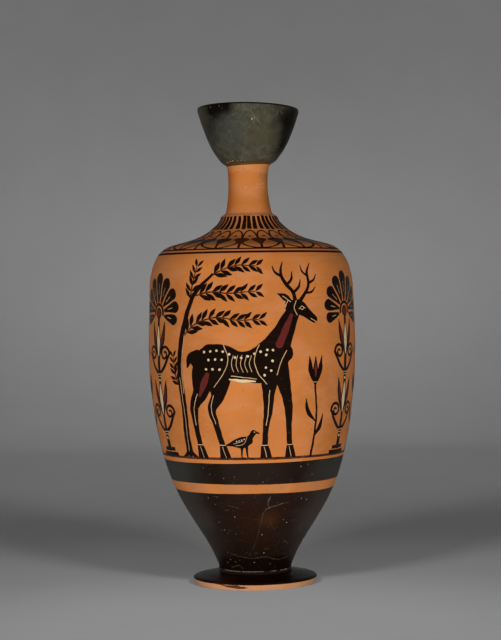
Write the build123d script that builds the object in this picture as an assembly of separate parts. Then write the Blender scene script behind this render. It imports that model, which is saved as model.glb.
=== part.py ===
from build123d import *
import os

# Shoulder lekythos: a tall oil jar with one strap handle, thrown in sections that are luted
# together with clay slip. Millimetres, +Z up. The origin is on the vessel's axis, in the plane
# that the foot stands on. The handle is at the back, towards +Y.

# Slip joints
SLIP_THICKNESS = 0.8  # clay slip between two luted faces
SLIP_BEAD = 0.6  # how far squeezed slip stands proud around a joint
SLIP_SETBACK = 0.5  # how far the slip is wiped back from the pouring bore

# Foot: a disc with a slanting edge, a domed top and a dished underside
FOOT_REST_RADIUS = 37.4
FOOT_REST_WIDTH = 10.4  # width of the flat ring that the vessel stands on
FOOT_RADIUS = 39.0
FOOT_EDGE_HEIGHT = 4.2
FOOT_DOME_SETBACK = 3.6  # from the widest radius in to where the domed top flattens
FOOT_DOME_RISE = 2.5  # from the edge up to that same place
FOOT_SEAT_RISE = 2.2  # from there up to the seat of the body
FOOT_LEDGE = 1.8  # flat ledge of the seat around the body's base
FOOT_DISH_DEPTH = 4.4

# Body: wall and shoulder, one thrown piece. Each rise is from the point of the profile below.
BODY_BASE_RADIUS = 22.4
BODY_FLARE_RADIUS = 36.3
BODY_FLARE_RISE = 27.2
BODY_HIP_RADIUS = 51.4
BODY_HIP_RISE = 27.7
BODY_WALL_LOW_RADIUS = 60.3
BODY_WALL_LOW_RISE = 31.5
BODY_BELLY_RADIUS = 65.3
BODY_BELLY_RISE = 51.6
BODY_WALL_HIGH_RADIUS = 64.6
BODY_WALL_HIGH_RISE = 31.4
BODY_WALL_TOP_RADIUS = 62.0
BODY_WALL_TOP_RISE = 20.8
SHOULDER_EDGE_RADIUS = 55.2
SHOULDER_EDGE_RISE = 11.1
SHOULDER_RADIUS = 42.2
SHOULDER_RISE = 4.7
SHOULDER_TOP_RADIUS = 26.2
SHOULDER_TOP_RISE = 6.2
COLLAR_STEP = 1.7  # how far the top of the shoulder stands out from the foot of the neck
COLLAR_RISE = 10.7
BODY_BASE_LEAN = 0.33  # outward slope of the wall where it leaves the foot
COLLAR_LEAN = 0.45  # inward slope of the shoulder where it meets the neck
BODY_WALL = 4.6
BODY_FLOOR = 6.5
COLLAR_BORE_SETBACK = 0.9  # the body's opening is this much wider than the neck's bore

# Neck: a waisted tube with a straight bore
NECK_BORE_RADIUS = 8.8
NECK_WALL = 3.6  # at the waist
NECK_BASE_FLARE = 2.3  # from the waist out to the foot of the neck
NECK_TOP_FLARE = 0.9  # from the waist out to the top of the neck
NECK_BASE_TO_WAIST = 17.0
NECK_WAIST_TO_TOP = 13.2

# Mouth: a calyx-shaped cup. Each rise is from the point of the profile below.
MOUTH_STEP = 1.4  # how far the mouth stands out from the top of the neck
MOUTH_CURVE_RADIUS = 21.4
MOUTH_CURVE_RISE = 7.2
MOUTH_SIDE_RADIUS = 27.0
MOUTH_SIDE_RISE = 11.6
MOUTH_LIP_RADIUS = 31.9
MOUTH_LIP_RISE = 14.8
LIP_EDGE_RISE = 2.0  # height of the lip's rounded outer edge
LIP_EDGE_SETBACK = 0.9  # from the lip's widest radius in to the flat rim
MOUTH_BASE_LEAN = 1.3  # outward slope of the cup where it leaves the neck
MOUTH_LIP_LEAN = 0.28  # outward slope of the cup at the lip
MOUTH_WALL = 4.0
MOUTH_THROAT_RISE = 2.5  # straight stretch of bore above the neck before the cup opens

# Handle: a strap that leaves the neck below the mouth, arches back and stands on the shoulder
HANDLE_NECK_DROP = 12.5  # from the top of the neck down to the strap's middle line
HANDLE_CROWN_REACH = 25.5
HANDLE_CROWN_RISE = 4.6
HANDLE_BACK_REACH = 39.4
HANDLE_BACK_DROP = 11.0  # from the strap's middle line at the neck down to the back of the arch
HANDLE_ROOT_REACH = 42.0
HANDLE_ROOT_DEPTH = 11.5  # how far the strap's line runs on below the shoulder's middle
HANDLE_WIDTH = 18.0
HANDLE_THICKNESS = 8.4
HANDLE_TOP_FLARE = 2.0  # extra width where the strap is pressed on to the neck
HANDLE_ROOT_FLARE = 5.0  # extra width where it is pressed on to the shoulder
HANDLE_END_SWELL = 1.6  # extra thickness at both ends

# Radii that follow from the bore and the steps between pieces
NECK_WAIST_RADIUS = NECK_BORE_RADIUS + NECK_WALL
NECK_BASE_RADIUS = NECK_WAIST_RADIUS + NECK_BASE_FLARE
NECK_TOP_RADIUS = NECK_WAIST_RADIUS + NECK_TOP_FLARE
COLLAR_RADIUS = NECK_BASE_RADIUS + COLLAR_STEP
MOUTH_BASE_RADIUS = NECK_TOP_RADIUS + MOUTH_STEP

# The body's outside profile: radius, and rise from the point below
BODY_PROFILE = [
    (BODY_BASE_RADIUS, 0),
    (BODY_FLARE_RADIUS, BODY_FLARE_RISE),
    (BODY_HIP_RADIUS, BODY_HIP_RISE),
    (BODY_WALL_LOW_RADIUS, BODY_WALL_LOW_RISE),
    (BODY_BELLY_RADIUS, BODY_BELLY_RISE),
    (BODY_WALL_HIGH_RADIUS, BODY_WALL_HIGH_RISE),
    (BODY_WALL_TOP_RADIUS, BODY_WALL_TOP_RISE),
    (SHOULDER_EDGE_RADIUS, SHOULDER_EDGE_RISE),
    (SHOULDER_RADIUS, SHOULDER_RISE),
    (SHOULDER_TOP_RADIUS, SHOULDER_TOP_RISE),
    (COLLAR_RADIUS, COLLAR_RISE),
]

# The mouth's outside profile, in the same form
MOUTH_PROFILE = [
    (MOUTH_BASE_RADIUS, 0),
    (MOUTH_CURVE_RADIUS, MOUTH_CURVE_RISE),
    (MOUTH_SIDE_RADIUS, MOUTH_SIDE_RISE),
    (MOUTH_LIP_RADIUS, MOUTH_LIP_RISE),
]

# Heights of the stacked pieces above the standing plane
FOOT_HEIGHT = FOOT_EDGE_HEIGHT + FOOT_DOME_RISE + FOOT_SEAT_RISE
BODY_BOTTOM = FOOT_HEIGHT + SLIP_THICKNESS
BODY_TOP = BODY_BOTTOM + sum(rise for radius, rise in BODY_PROFILE)
SHOULDER_MIDDLE = BODY_TOP - COLLAR_RISE - SHOULDER_TOP_RISE
NECK_BOTTOM = BODY_TOP + SLIP_THICKNESS
NECK_TOP = NECK_BOTTOM + NECK_BASE_TO_WAIST + NECK_WAIST_TO_TOP
MOUTH_BOTTOM = NECK_TOP + SLIP_THICKNESS
MOUTH_TOP = MOUTH_BOTTOM + sum(rise for radius, rise in MOUTH_PROFILE) + LIP_EDGE_RISE

OFFSET_SAMPLES = 28  # points of a curve that its offset is drawn through
STRAP_SECTIONS = 9  # ellipses that the handle is drawn through


def at(radius, height):
    """A point of a profile, in the plane that is turned about the axis."""
    return Vector(radius, 0, height)


def lean(outward):
    """The direction of a profile that leans out by so much for each unit of height."""
    return Vector(outward, 0, 1)


def stacked(profile, height):
    """The points of a profile that starts at a height."""
    points = []
    for radius, rise in profile:
        height += rise
        points.append(at(radius, height))
    return points


def turned(*curves):
    """The solid of revolution inside a chain of profile curves, filled to the axis."""
    start = curves[0] @ 0
    end = curves[-1] @ 1
    closing = [
        Line(end, at(0, end.Z)),
        Line(at(0, end.Z), at(0, start.Z)),
        Line(at(0, start.Z), start),
    ]
    return revolve(make_face([*curves, *closing]), Axis.Z)


def column(radius, bottom, top):
    """A straight round column on the axis."""
    return turned(Line(at(radius, bottom), at(radius, top)))


def beside(curve, distance):
    """A curve at a distance outside a profile that is drawn upwards, or inside if negative."""
    points = []
    for step in range(OFFSET_SAMPLES + 1):
        share = step / OFFSET_SAMPLES
        along = curve % share
        points.append(curve @ share + Vector(along.Z, 0, -along.X) * distance)
    return Spline(*points)


def body_curve():
    """The outside of the body, from the foot joint up over the shoulder to the neck joint."""
    points = stacked(BODY_PROFILE, BODY_BOTTOM)
    return Spline(*points, tangents=[lean(BODY_BASE_LEAN), lean(-COLLAR_LEAN)])


def neck_curve():
    """The outside of the neck, from its flared base up over the waist."""
    return Spline(
        at(NECK_BASE_RADIUS, NECK_BOTTOM),
        at(NECK_WAIST_RADIUS, NECK_BOTTOM + NECK_BASE_TO_WAIST),
        at(NECK_TOP_RADIUS, NECK_TOP),
    )


def mouth_curve():
    """The outside of the mouth, from the neck joint up to the lip."""
    points = stacked(MOUTH_PROFILE, MOUTH_BOTTOM)
    return Spline(*points, tangents=[lean(MOUTH_BASE_LEAN), lean(MOUTH_LIP_LEAN)])


def make_foot():
    edge = Line(at(FOOT_REST_RADIUS, 0), at(FOOT_RADIUS, FOOT_EDGE_HEIGHT))
    dome = Spline(
        at(FOOT_RADIUS, FOOT_EDGE_HEIGHT),
        at(FOOT_RADIUS - FOOT_DOME_SETBACK, FOOT_EDGE_HEIGHT + FOOT_DOME_RISE),
        at(BODY_BASE_RADIUS + FOOT_LEDGE, FOOT_HEIGHT),
        tangents=[Vector(0, 0, 1), Vector(-1, 0, 0)],
    )
    dish_radius = FOOT_REST_RADIUS - FOOT_REST_WIDTH
    dish = ThreePointArc(at(-dish_radius, 0), at(0, FOOT_DISH_DEPTH), at(dish_radius, 0))
    return turned(edge, dome) - turned(dish.trim(0.5, 1))


def make_body():
    outside = body_curve()
    size = 3 * BODY_TOP
    floor = Pos(0, 0, BODY_BOTTOM + BODY_FLOOR) * Box(
        size, size, size, align=(Align.CENTER, Align.CENTER, Align.MAX)
    )
    hollow = turned(beside(outside, -BODY_WALL)) - floor
    opening = column(NECK_BORE_RADIUS + COLLAR_BORE_SETBACK, SHOULDER_MIDDLE - BODY_WALL, BODY_TOP)
    return turned(outside) - hollow - opening


def make_neck():
    return turned(neck_curve()) - column(NECK_BORE_RADIUS, NECK_BOTTOM, NECK_TOP)


def make_mouth():
    outside = mouth_curve()
    rim = at(MOUTH_LIP_RADIUS - LIP_EDGE_SETBACK, MOUTH_TOP)
    lip = Spline(outside @ 1, rim, tangents=[outside % 1, Vector(-1, 0, 0)])
    throat_top = at(NECK_BORE_RADIUS, MOUTH_BOTTOM + MOUTH_THROAT_RISE)
    bowl = beside(outside, -MOUTH_WALL)
    cup = turned(
        Line(at(NECK_BORE_RADIUS, MOUTH_BOTTOM), throat_top),
        Spline(throat_top, bowl @ 0.3, bowl @ 0.65, at(MOUTH_LIP_RADIUS - MOUTH_WALL, MOUTH_TOP)),
    )
    return turned(outside, lip) - cup


def strap(margin):
    """The handle along its arched line, grown by a margin, with both ends still in the vessel."""
    neck_end = NECK_TOP - HANDLE_NECK_DROP
    path = Spline(
        Vector(0, 0, neck_end - HANDLE_CROWN_RISE),
        Vector(0, HANDLE_CROWN_REACH, neck_end + HANDLE_CROWN_RISE),
        Vector(0, HANDLE_BACK_REACH, neck_end - HANDLE_BACK_DROP),
        Vector(0, HANDLE_ROOT_REACH, SHOULDER_MIDDLE - HANDLE_ROOT_DEPTH),
    )
    sections = []
    for step in range(STRAP_SECTIONS):
        share = step / (STRAP_SECTIONS - 1)
        ends = abs(2 * share - 1) ** 3
        flare = HANDLE_TOP_FLARE if share < 0.5 else HANDLE_ROOT_FLARE
        width = HANDLE_WIDTH + flare * ends + 2 * margin
        thickness = HANDLE_THICKNESS + HANDLE_END_SWELL * ends + 2 * margin
        place = Plane(path @ share, x_dir=(1, 0, 0), z_dir=path % share)
        sections.append(place * Ellipse(width / 2, thickness / 2))
    return loft(sections)


def largest(shape):
    """The largest solid of a cut shape, without the offcuts."""
    return max(shape.solids(), key=lambda solid: solid.volume)


def make_handle():
    """The handle, then the slip under its two ends, each cut to the surface that it sits on."""
    neck = turned(neck_curve())
    neck_with_slip = turned(beside(neck_curve(), SLIP_THICKNESS))
    body = turned(body_curve())
    body_with_slip = turned(beside(body_curve(), SLIP_THICKNESS))
    smear = strap(SLIP_BEAD)
    size = 3 * BODY_TOP
    behind = Box(size, size, size, align=(Align.CENTER, Align.MIN, Align.CENTER))
    return (
        largest(strap(0) - neck_with_slip - body_with_slip),
        largest((smear & neck_with_slip & behind) - neck),
        largest((smear & body_with_slip & behind) - body),
    )


def slip_ring(radius, bottom):
    """The slip of a joint around the pouring bore."""
    top = bottom + SLIP_THICKNESS
    bore = column(NECK_BORE_RADIUS + SLIP_SETBACK, bottom, top)
    return column(radius + SLIP_BEAD, bottom, top) - bore


def main():
    handle, handle_top_slip, handle_root_slip = make_handle()
    nodes = {
        "foot": make_foot(),
        "foot_joint_slip": column(BODY_BASE_RADIUS + SLIP_BEAD, FOOT_HEIGHT, BODY_BOTTOM),
        "body": make_body(),
        "neck_joint_slip": slip_ring(NECK_BASE_RADIUS, BODY_TOP),
        "neck": make_neck(),
        "mouth_joint_slip": slip_ring(NECK_TOP_RADIUS, NECK_TOP),
        "mouth": make_mouth(),
        "handle": handle,
        "handle_top_slip": handle_top_slip,
        "handle_root_slip": handle_root_slip,
    }
    os.makedirs("parts", exist_ok=True)
    for name, shape in nodes.items():
        export_step(shape, os.path.join("parts", name + ".step"))


main()
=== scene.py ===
"""Dresses a shoulder lekythos: thrown orange clay, black gloss, a painted shoulder and an animal frieze.

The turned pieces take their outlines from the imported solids. Paint is real geometry: thin slabs that lie on
the clay, with incised lines and chips as gaps in them. Drawings are in millimetres on the pot's skin, x going
round from the front and s going up the wall; everything in the scene is in metres.
"""
import math
import random

import bmesh
import bpy
import numpy as np
from bpy.props import FloatProperty, FloatVectorProperty, IntProperty, PointerProperty
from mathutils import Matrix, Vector
from mathutils.geometry import delaunay_2d_cdt


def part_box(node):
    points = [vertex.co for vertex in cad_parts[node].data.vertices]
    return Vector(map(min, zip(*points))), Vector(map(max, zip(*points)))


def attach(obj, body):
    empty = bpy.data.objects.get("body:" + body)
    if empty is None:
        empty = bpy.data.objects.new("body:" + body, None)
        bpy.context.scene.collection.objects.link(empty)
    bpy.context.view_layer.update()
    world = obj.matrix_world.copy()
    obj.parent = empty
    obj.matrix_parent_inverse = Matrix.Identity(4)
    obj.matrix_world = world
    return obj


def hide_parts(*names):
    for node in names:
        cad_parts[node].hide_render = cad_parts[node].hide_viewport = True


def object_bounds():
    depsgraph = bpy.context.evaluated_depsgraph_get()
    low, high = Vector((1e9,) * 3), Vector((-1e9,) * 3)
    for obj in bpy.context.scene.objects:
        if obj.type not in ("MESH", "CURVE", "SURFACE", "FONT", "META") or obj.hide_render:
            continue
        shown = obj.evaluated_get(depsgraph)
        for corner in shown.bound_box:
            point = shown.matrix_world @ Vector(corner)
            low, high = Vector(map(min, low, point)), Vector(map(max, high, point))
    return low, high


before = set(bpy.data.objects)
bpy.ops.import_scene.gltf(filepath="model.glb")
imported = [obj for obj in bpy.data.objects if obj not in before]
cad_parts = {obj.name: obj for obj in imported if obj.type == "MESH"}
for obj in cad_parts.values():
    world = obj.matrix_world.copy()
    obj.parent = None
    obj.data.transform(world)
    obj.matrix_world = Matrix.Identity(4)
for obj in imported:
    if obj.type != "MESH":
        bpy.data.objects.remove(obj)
CAD_LOW, CAD_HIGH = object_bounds()

bl_info = {
    "name": "Lekythos",
    "version": (1, 0, 0),
    "blender": (4, 5, 0),
    "location": "View3D > Sidebar > Lekythos",
    "description": "Builds a painted shoulder lekythos around its packed solids",
    "category": "Object",
}

MM = 0.001
BODY_NAME = "root"


def length_setting(label, words, default):
    """A length that a user may change, in millimetres."""
    return FloatProperty(name=label, description=words, default=default, min=0.0)


def distance_setting(label, words, default):
    """A distance on the stage that a user may change, in metres."""
    return FloatProperty(name=label, description=words, default=default, unit="LENGTH")


def angle_setting(label, words, degrees):
    """An angle that a user may change."""
    return FloatProperty(name=label, description=words, default=math.radians(degrees), subtype="ANGLE")


def power_setting(label, words, default):
    """The power of a lamp that a user may change, in watts."""
    return FloatProperty(name=label, description=words, default=default, min=0.0, unit="POWER")


def count_setting(label, words, default):
    """A number of motifs round the pot that a user may change."""
    return IntProperty(name=label, description=words, default=default, min=3)


def colour_setting(label, words, default):
    """A colour that a user may change, as linear red, green and blue."""
    return FloatVectorProperty(
        name=label, description=words, default=default, subtype="COLOR", min=0.0, max=1.0
    )


class LekythosSizes(bpy.types.PropertyGroup):
    """Sizes in millimetres and counts of the painted work, and how the mouth sat down in the kiln."""

    gloss_thickness: length_setting("Gloss", "How far the black gloss stands on the clay", 0.09)
    added_thickness: length_setting("Added colours", "How far cream and red stand on the clay", 0.14)
    line_thickness: length_setting("Thin lines", "How far thin lines and incised floors stand out", 0.045)
    incision_width: length_setting("Incision", "Width of an incised line", 0.42)
    hand_wander: length_setting("Hand", "How far a drawn outline strays", 0.2)
    ground_line: length_setting("Ground line", "Height of the line under the frieze", 82.9)
    band_top: length_setting("Band top", "Upper edge of the black band", 80.0)
    band_bottom: length_setting("Band bottom", "Lower edge of the black band", 67.0)
    lower_gloss_top: length_setting("Lower gloss", "Upper edge of the gloss on the lower body", 60.5)
    shoulder_line: length_setting("Shoulder line", "Height of the broad line at the shoulder's edge", 208.1)
    shoulder_thin_line: length_setting("Thin line", "Height of the thin line above it", 210.3)
    tongue_top: length_setting("Tongue top", "Radius where the tongues begin", 16.8)
    tongue_bottom: length_setting("Tongue bottom", "Radius where the tongues end", 25.0)
    tongues: count_setting("Tongues", "Tongues round the neck's base", 39)
    buds: count_setting("Buds", "Hanging buds round the shoulder", 24)
    mouth_lean: angle_setting("Mouth lean", "How far the rim is lower on the right", 1.5)
    mouth_tip: angle_setting("Mouth tip", "How far the rim is lower at the back", 3.2)
    mouth_sink: length_setting("Mouth sink", "How far the rim sank in firing", 1.2)


class LekythosColours(bpy.types.PropertyGroup):
    """Colours of the clay, the gloss and the added paints."""

    clay: colour_setting("Clay", "Reserved clay", (0.56, 0.186, 0.044))
    gloss: colour_setting("Gloss", "Black gloss", (0.0090, 0.0038, 0.0019))
    glow: colour_setting("Glow", "Brown that shows where the gloss is thin", (0.024, 0.0078, 0.0027))
    mouth_gloss: colour_setting("Mouth gloss", "Gloss fired to olive on the mouth", (0.082, 0.079, 0.053))
    dilute: colour_setting("Dilute", "Thin brown lines", (0.040, 0.0085, 0.005))
    incised: colour_setting("Incised", "Floor of incised lines and chips", (0.64, 0.43, 0.22))
    cream: colour_setting("Cream", "Added white", (0.70, 0.55, 0.31))
    red: colour_setting("Red", "Added red", (0.125, 0.017, 0.014))
    slip: colour_setting("Slip", "Clay slip in the joints", (0.60, 0.27, 0.11))
    worn: colour_setting("Worn", "Cracks and scratches in the gloss", (0.066, 0.053, 0.036))
    paper: colour_setting("Paper", "Floor and backdrop", (0.62, 0.62, 0.62))


class LekythosStage(bpy.types.PropertyGroup):
    """Camera and lamps."""

    eye_distance: distance_setting("Distance", "Camera to the pot's axis", 1.19)
    eye_height: distance_setting("Height", "Camera above the floor", 0.181)
    lens: FloatProperty(name="Lens", description="Focal length", default=105.75, min=1.0, unit="CAMERA")
    pitch: angle_setting("Pitch", "Camera turned down", 0.73)
    roll: angle_setting("Roll", "Camera turned on its line of sight", -0.85)
    left_power: power_setting("Left", "Lamp in front at the left", 13.6)
    right_power: power_setting("Right", "Lamp in front at the right", 13.0)
    top_power: power_setting("Top", "Lamp overhead, on the paper only", 12.0)
    floor_power: power_setting("Floor", "Each of the two lamps on the floor", 4.0)
    back_power: power_setting("Back", "Lamp behind, on the pot only", 11.0)
    sky: FloatProperty(name="Sky", description="Even light from above", default=0.12, min=0.0)


# Outlines of the turned pieces

CORNER_TURN = math.radians(14)
POLE_RADIUS = 0.02
WORN_SHARE = 0.4
CORNER_STEPS = (0, 0.25, 0.5, 0.75, 1)


def section(node):
    """The cut through a turned node right of its axis: points (radius, height) with their neighbours."""
    cut = bmesh.new()
    cut.from_mesh(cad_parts[node].data)
    everything = cut.verts[:] + cut.edges[:] + cut.faces[:]
    found = bmesh.ops.bisect_plane(cut, geom=everything, dist=1e-7, plane_co=(0, 0, 0), plane_no=(0, 1, 0))
    neighbours = {}
    for edge in found["geom_cut"]:
        if isinstance(edge, bmesh.types.BMEdge):
            ends = [(round(max(v.co.x, 0) / MM, 3), round(v.co.z / MM, 3)) for v in edge.verts]
            if ends[0] != ends[1] and max(v.co.x for v in edge.verts) > POLE_RADIUS * MM:
                neighbours.setdefault(ends[0], set()).add(ends[1])
                neighbours.setdefault(ends[1], set()).add(ends[0])
    cut.free()
    if not neighbours:
        raise RuntimeError(f"{node} has no section in the plane y = 0")
    return neighbours


def outline(node):
    """A turned node's section as one line that goes up its outside, and whether the line is a closed loop."""
    neighbours = section(node)
    ends = sorted((p for p in neighbours if len(neighbours[p]) == 1), key=lambda p: p[1])
    start = ends[0] if ends else max(neighbours, key=lambda p: (-p[1], p[0]))
    line = [start]
    seen = {start}
    while True:
        onward = [p for p in neighbours[line[-1]] if p not in seen]
        if not onward:
            return np.array(line), not ends
        line.append(max(onward, key=lambda p: p[1]) if len(line) == 1 else onward[0])
        seen.add(line[-1])


def stretches(line, closed):
    """The smooth stretches of an outline between its corners. Neighbours share their end point."""
    if closed:
        line = np.vstack((line, line[:1]))
    ahead = np.diff(line, axis=0)
    heading = np.arctan2(ahead[:, 1], ahead[:, 0])
    turn = np.abs((np.diff(heading) + math.pi) % (2 * math.pi) - math.pi)
    marks = [0, *(np.flatnonzero(turn > CORNER_TURN) + 1), len(line) - 1]
    return [line[a : b + 1] for a, b in zip(marks, marks[1:])]


def smooth_line(points, step):
    """Points every step or so along a smooth line through the given ones, by their first two columns."""
    points = np.asarray(points, float)
    along = np.concatenate(([0.0], np.cumsum(np.hypot(*np.diff(points[:, :2], axis=0).T))))
    slope = np.gradient(points, along, axis=0)
    at = np.linspace(0, along[-1], max(2, math.ceil(along[-1] / step) + 1))
    i = np.clip(np.searchsorted(along, at, side="right") - 1, 0, len(along) - 2)
    span = (along[i + 1] - along[i])[:, None]
    t = (at - along[i])[:, None] / span
    rest = 1 - t
    return (
        points[i] * rest**2 * (1 + 2 * t)
        + points[i + 1] * t**2 * (3 - 2 * t)
        + slope[i] * span * t * rest**2
        - slope[i + 1] * span * t**2 * rest
    )


def bent(start, corner, end, steps):
    """Points of a curve from start to end that bends towards a corner."""
    return [start * (1 - t) ** 2 + corner * 2 * t * (1 - t) + end * t**2 for t in steps]


def worn_corner(before, corner, after, wear):
    """Points that round a corner off between the lines that come in from before and go on to after."""
    inward, onward = (
        corner + (end - corner) * min(WORN_SHARE, wear / max(np.linalg.norm(end - corner), 1e-6))
        for end in (before, after)
    )
    return bent(inward, corner, onward, CORNER_STEPS)


def rows(parts, closed, step, wear):
    """The rings of a turned piece: its stretches at an even step, with every corner worn round."""
    fine = [smooth_line(part, step) for part in parts]
    line = [] if closed else [fine[0][0]]
    for i, part in enumerate(fine):
        line.extend(part[1:-1])
        if i + 1 < len(fine) or closed:
            onward = fine[(i + 1) % len(fine)]
            line.extend(worn_corner(part[-2], part[-1], onward[1], wear))
        else:
            line.append(part[-1])
    return np.array(line)


# The slight unevenness of hand-thrown clay

MOUTH_LOW, MOUTH_HIGH = (corner.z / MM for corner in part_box("mouth"))
FOOT_EDGE, FOOT_TOP = stretches(*outline("foot"))[3][[0, -1]]
FOOT_MARGIN = (0.1, 0.2)
FOOT_FALL = 0.45
FOOT_EDGE_SINK = 0.55
# Each place below is a height, how far up and down from it the change reaches, and the amount there.
SWAY = ((50, 55, 0.75), (170, 40, 0.5), (250, 22, -0.65), (265.5, 3, 0.35))
SWELLS = ((44, 22, 0.013), (231.6, 2.0, 0.05), (265.5, 2.6, 0.045))
SLUMP = (214, 7, 0.65)
NECK_SINK = (233, 3, 0.75)
SEAT = (264, 5, math.tan(math.radians(1.6)))
HANDLE_HOLD = 1.4
# Each wave round the wall has a count, a share of the radius, a start and a turn per millimetre upwards.
WALL_WAVES = ((2, 0.0011, 0.9, 0.006), (3, 0.0006, 0.0, -0.013))


def swell(z, middle, reach, amount):
    """An amount that is whole at one height and fades above and below it."""
    return amount * np.exp(-(((z - middle) / reach) ** 2))


def thrown(points):
    """Moves points in millimetres from the true turned form to the hand-thrown one.

    The axis sways to the sides, and lower wall, collar and mouth's base are a little full. The shoulder
    sank except under the handle, the neck sank into the collar, and the foot's top was turned flatter with a
    lower edge. The mouth sits a little askew, and its rim leans and tips back.
    """
    x, y, z = points.T
    angle = np.arctan2(x, -y)
    out = 1.0
    for count, share, start, wind in WALL_WAVES:
        out = out + share * np.sin(count * angle + start + z * wind)
    out += sum(swell(z, *place) for place in SWELLS)
    sizes = bpy.context.scene.lekythos_sizes
    drop = math.tan(sizes.mouth_lean) * x + math.tan(sizes.mouth_tip) * y + sizes.mouth_sink
    drop *= np.clip((z - MOUTH_LOW) / (MOUTH_HIGH - MOUTH_LOW), 0, 1)
    slump = swell(z, *SLUMP) * np.clip(HANDLE_HOLD * (1 + np.cos(angle)), 0, 1)
    drop += slump - swell(z, *SEAT) * x + swell(z, *NECK_SINK)
    radius = np.hypot(x, y)
    on_foot = (radius > FOOT_TOP[0] - FOOT_MARGIN[0]) & (z < FOOT_TOP[1] + FOOT_MARGIN[1])
    bulge = z - np.interp(radius, (FOOT_TOP[0], FOOT_EDGE[0]), (FOOT_TOP[1], FOOT_EDGE[1]))
    outward = np.clip((radius - FOOT_TOP[0]) / (FOOT_EDGE[0] - FOOT_TOP[0]), 0, 1)
    edge_sink = FOOT_EDGE_SINK * outward * np.clip(z / FOOT_EDGE[1], 0, 1)
    drop += np.where(on_foot, FOOT_FALL * np.clip(bulge, 0, None) + edge_sink, 0)
    sway = sum(swell(z, *place) for place in SWAY)
    return np.column_stack((x * out + sway, y * out, z - drop))


def turned_mesh(line, closed, segments):
    """Vertices and faces of a line turned round the axis."""
    angle = np.arange(segments) * 2 * math.pi / segments
    vertices = []
    rings = []
    for radius, height in line:
        start = len(vertices)
        if radius < POLE_RADIUS:
            vertices.append((0.0, 0.0, height))
            rings.append([start] * segments)
        else:
            vertices.extend(zip(radius * np.sin(angle), -radius * np.cos(angle), np.full(segments, height)))
            rings.append(list(range(start, start + segments)))
    faces = []
    pairs = list(zip(rings, rings[1:])) + ([(rings[-1], rings[0])] if closed else [])
    for lower, upper in pairs:
        for i in range(segments):
            k = (i + 1) % segments
            corners = dict.fromkeys((lower[i], lower[k], upper[k], upper[i]))
            if len(corners) > 2:
                faces.append(tuple(corners))
    return np.array(vertices), faces


SHARP_EDGE = math.radians(40)


def add_piece(name, vertices, faces, finish, replaced=()):
    """A mesh object that rides on the pot, with its finish; the nodes that it stands for are hidden."""
    mesh = bpy.data.meshes.new(name)
    mesh.from_pydata(np.asarray(vertices).tolist(), [], faces)
    mesh.shade_smooth()
    mesh.set_sharp_from_angle(angle=SHARP_EDGE)
    mesh.materials.append(finish)
    piece = bpy.data.objects.new(name, mesh)
    bpy.context.scene.collection.objects.link(piece)
    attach(piece, BODY_NAME)
    if replaced:
        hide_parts(*replaced)
    return piece


CRISP_REACH = 1.8
CRISPNESS = 0.8


def turn_line(name, line, closed, finish, slot, replaced=(), segments=224, step=1.2, wear=0.3):
    """A piece turned from a line of points (radius, height)."""
    rings = rows(stretches(line, closed), closed, step, wear)
    vertices, faces = turned_mesh(rings, closed, segments)
    return add_piece(name, thrown(vertices) * MM, faces, finish, replaced)


def turn_piece(name, node, finish, slot, crisp=None, **fineness):
    """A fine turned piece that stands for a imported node. A crisp corner draws the outline to itself."""
    line, closed = outline(node)
    if not closed:
        line[[0, -1], 0] = 0
    if crisp:
        away = crisp - line
        far = np.linalg.norm(away, axis=1)[:, None]
        line = line + away * CRISPNESS * np.clip(1 - far / CRISP_REACH, 0, None)
    return turn_line(name, line, closed, finish, slot, [node], **fineness)


class Skin:
    """The outside of a turned piece as a sheet to paint on. At radius reach, x is a true length."""

    SAMPLE = 0.4
    END_ROOM = 1.0

    def __init__(self, line, reach):
        fine = smooth_line(line, self.SAMPLE)
        self.reach = reach
        self.radius, self.height = fine.T
        self.along = np.concatenate(([0.0], np.cumsum(np.hypot(*np.diff(fine, axis=0).T))))
        out, up = np.gradient(self.height, self.along), -np.gradient(self.radius, self.along)
        size = np.hypot(out, up)
        self.out, self.up = out / size, up / size
        self.half = math.pi * reach

    @classmethod
    def of(cls, node, reach, low, high):
        """The longest stretch of a node's outline between two heights, on the outside."""
        parts = stretches(*outline(node))
        low, high = low - cls.END_ROOM, high + cls.END_ROOM
        fitting = [p for p in parts if p[:, 1].min() >= low and p[:, 1].max() <= high]
        return cls(max(fitting, key=lambda p: p[:, 0].mean() * len(p)), reach)

    def at_height(self, z):
        """How far up the wall a height is."""
        return float(np.interp(z, self.height, self.along))

    def at_radius(self, radius):
        """How far up the wall a radius of the shoulder is, where the radius shrinks upwards."""
        start = int(np.argmax(self.radius))
        return float(np.interp(-radius, -self.radius[start:], self.along[start:]))

    def seen_from_front(self, across, z):
        """The place of a point that shows from the front at this offset and height."""
        s = self.at_height(z)
        radius = float(np.interp(s, self.along, self.radius))
        return math.asin(max(-1.0, min(1.0, across / radius))) * self.reach, s

    def stretch_at(self, s):
        """Drawing length per true length round the pot at this place."""
        return self.reach / float(np.interp(s, self.along, self.radius))

    def place(self, flat, lift):
        """Points in metres for places (x, s) on the sheet, lifted off the clay."""
        x, s = flat.T
        radius = np.interp(s, self.along, self.radius) + np.interp(s, self.along, self.out) * lift
        height = np.interp(s, self.along, self.height) + np.interp(s, self.along, self.up) * lift
        angle = x / self.reach
        return thrown(np.column_stack((radius * np.sin(angle), -radius * np.cos(angle), height))) * MM


# Drawing: outlines of brush strokes and shapes

STROKE_STEP = 0.8
CAP_TURNS = np.linspace(0, math.pi, 8)[1:-1, None]
FINE_END = 0.3
FINEST_STROKE = 0.1
DISC_SIDES = 14
ARC_POINTS = 9
VOLUTE_POINTS = 10
VOLUTE_POINTS_PER_TURN = 8
VOLUTE_SHRINK = 0.82
VOLUTE_THINNING = 0.35


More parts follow.
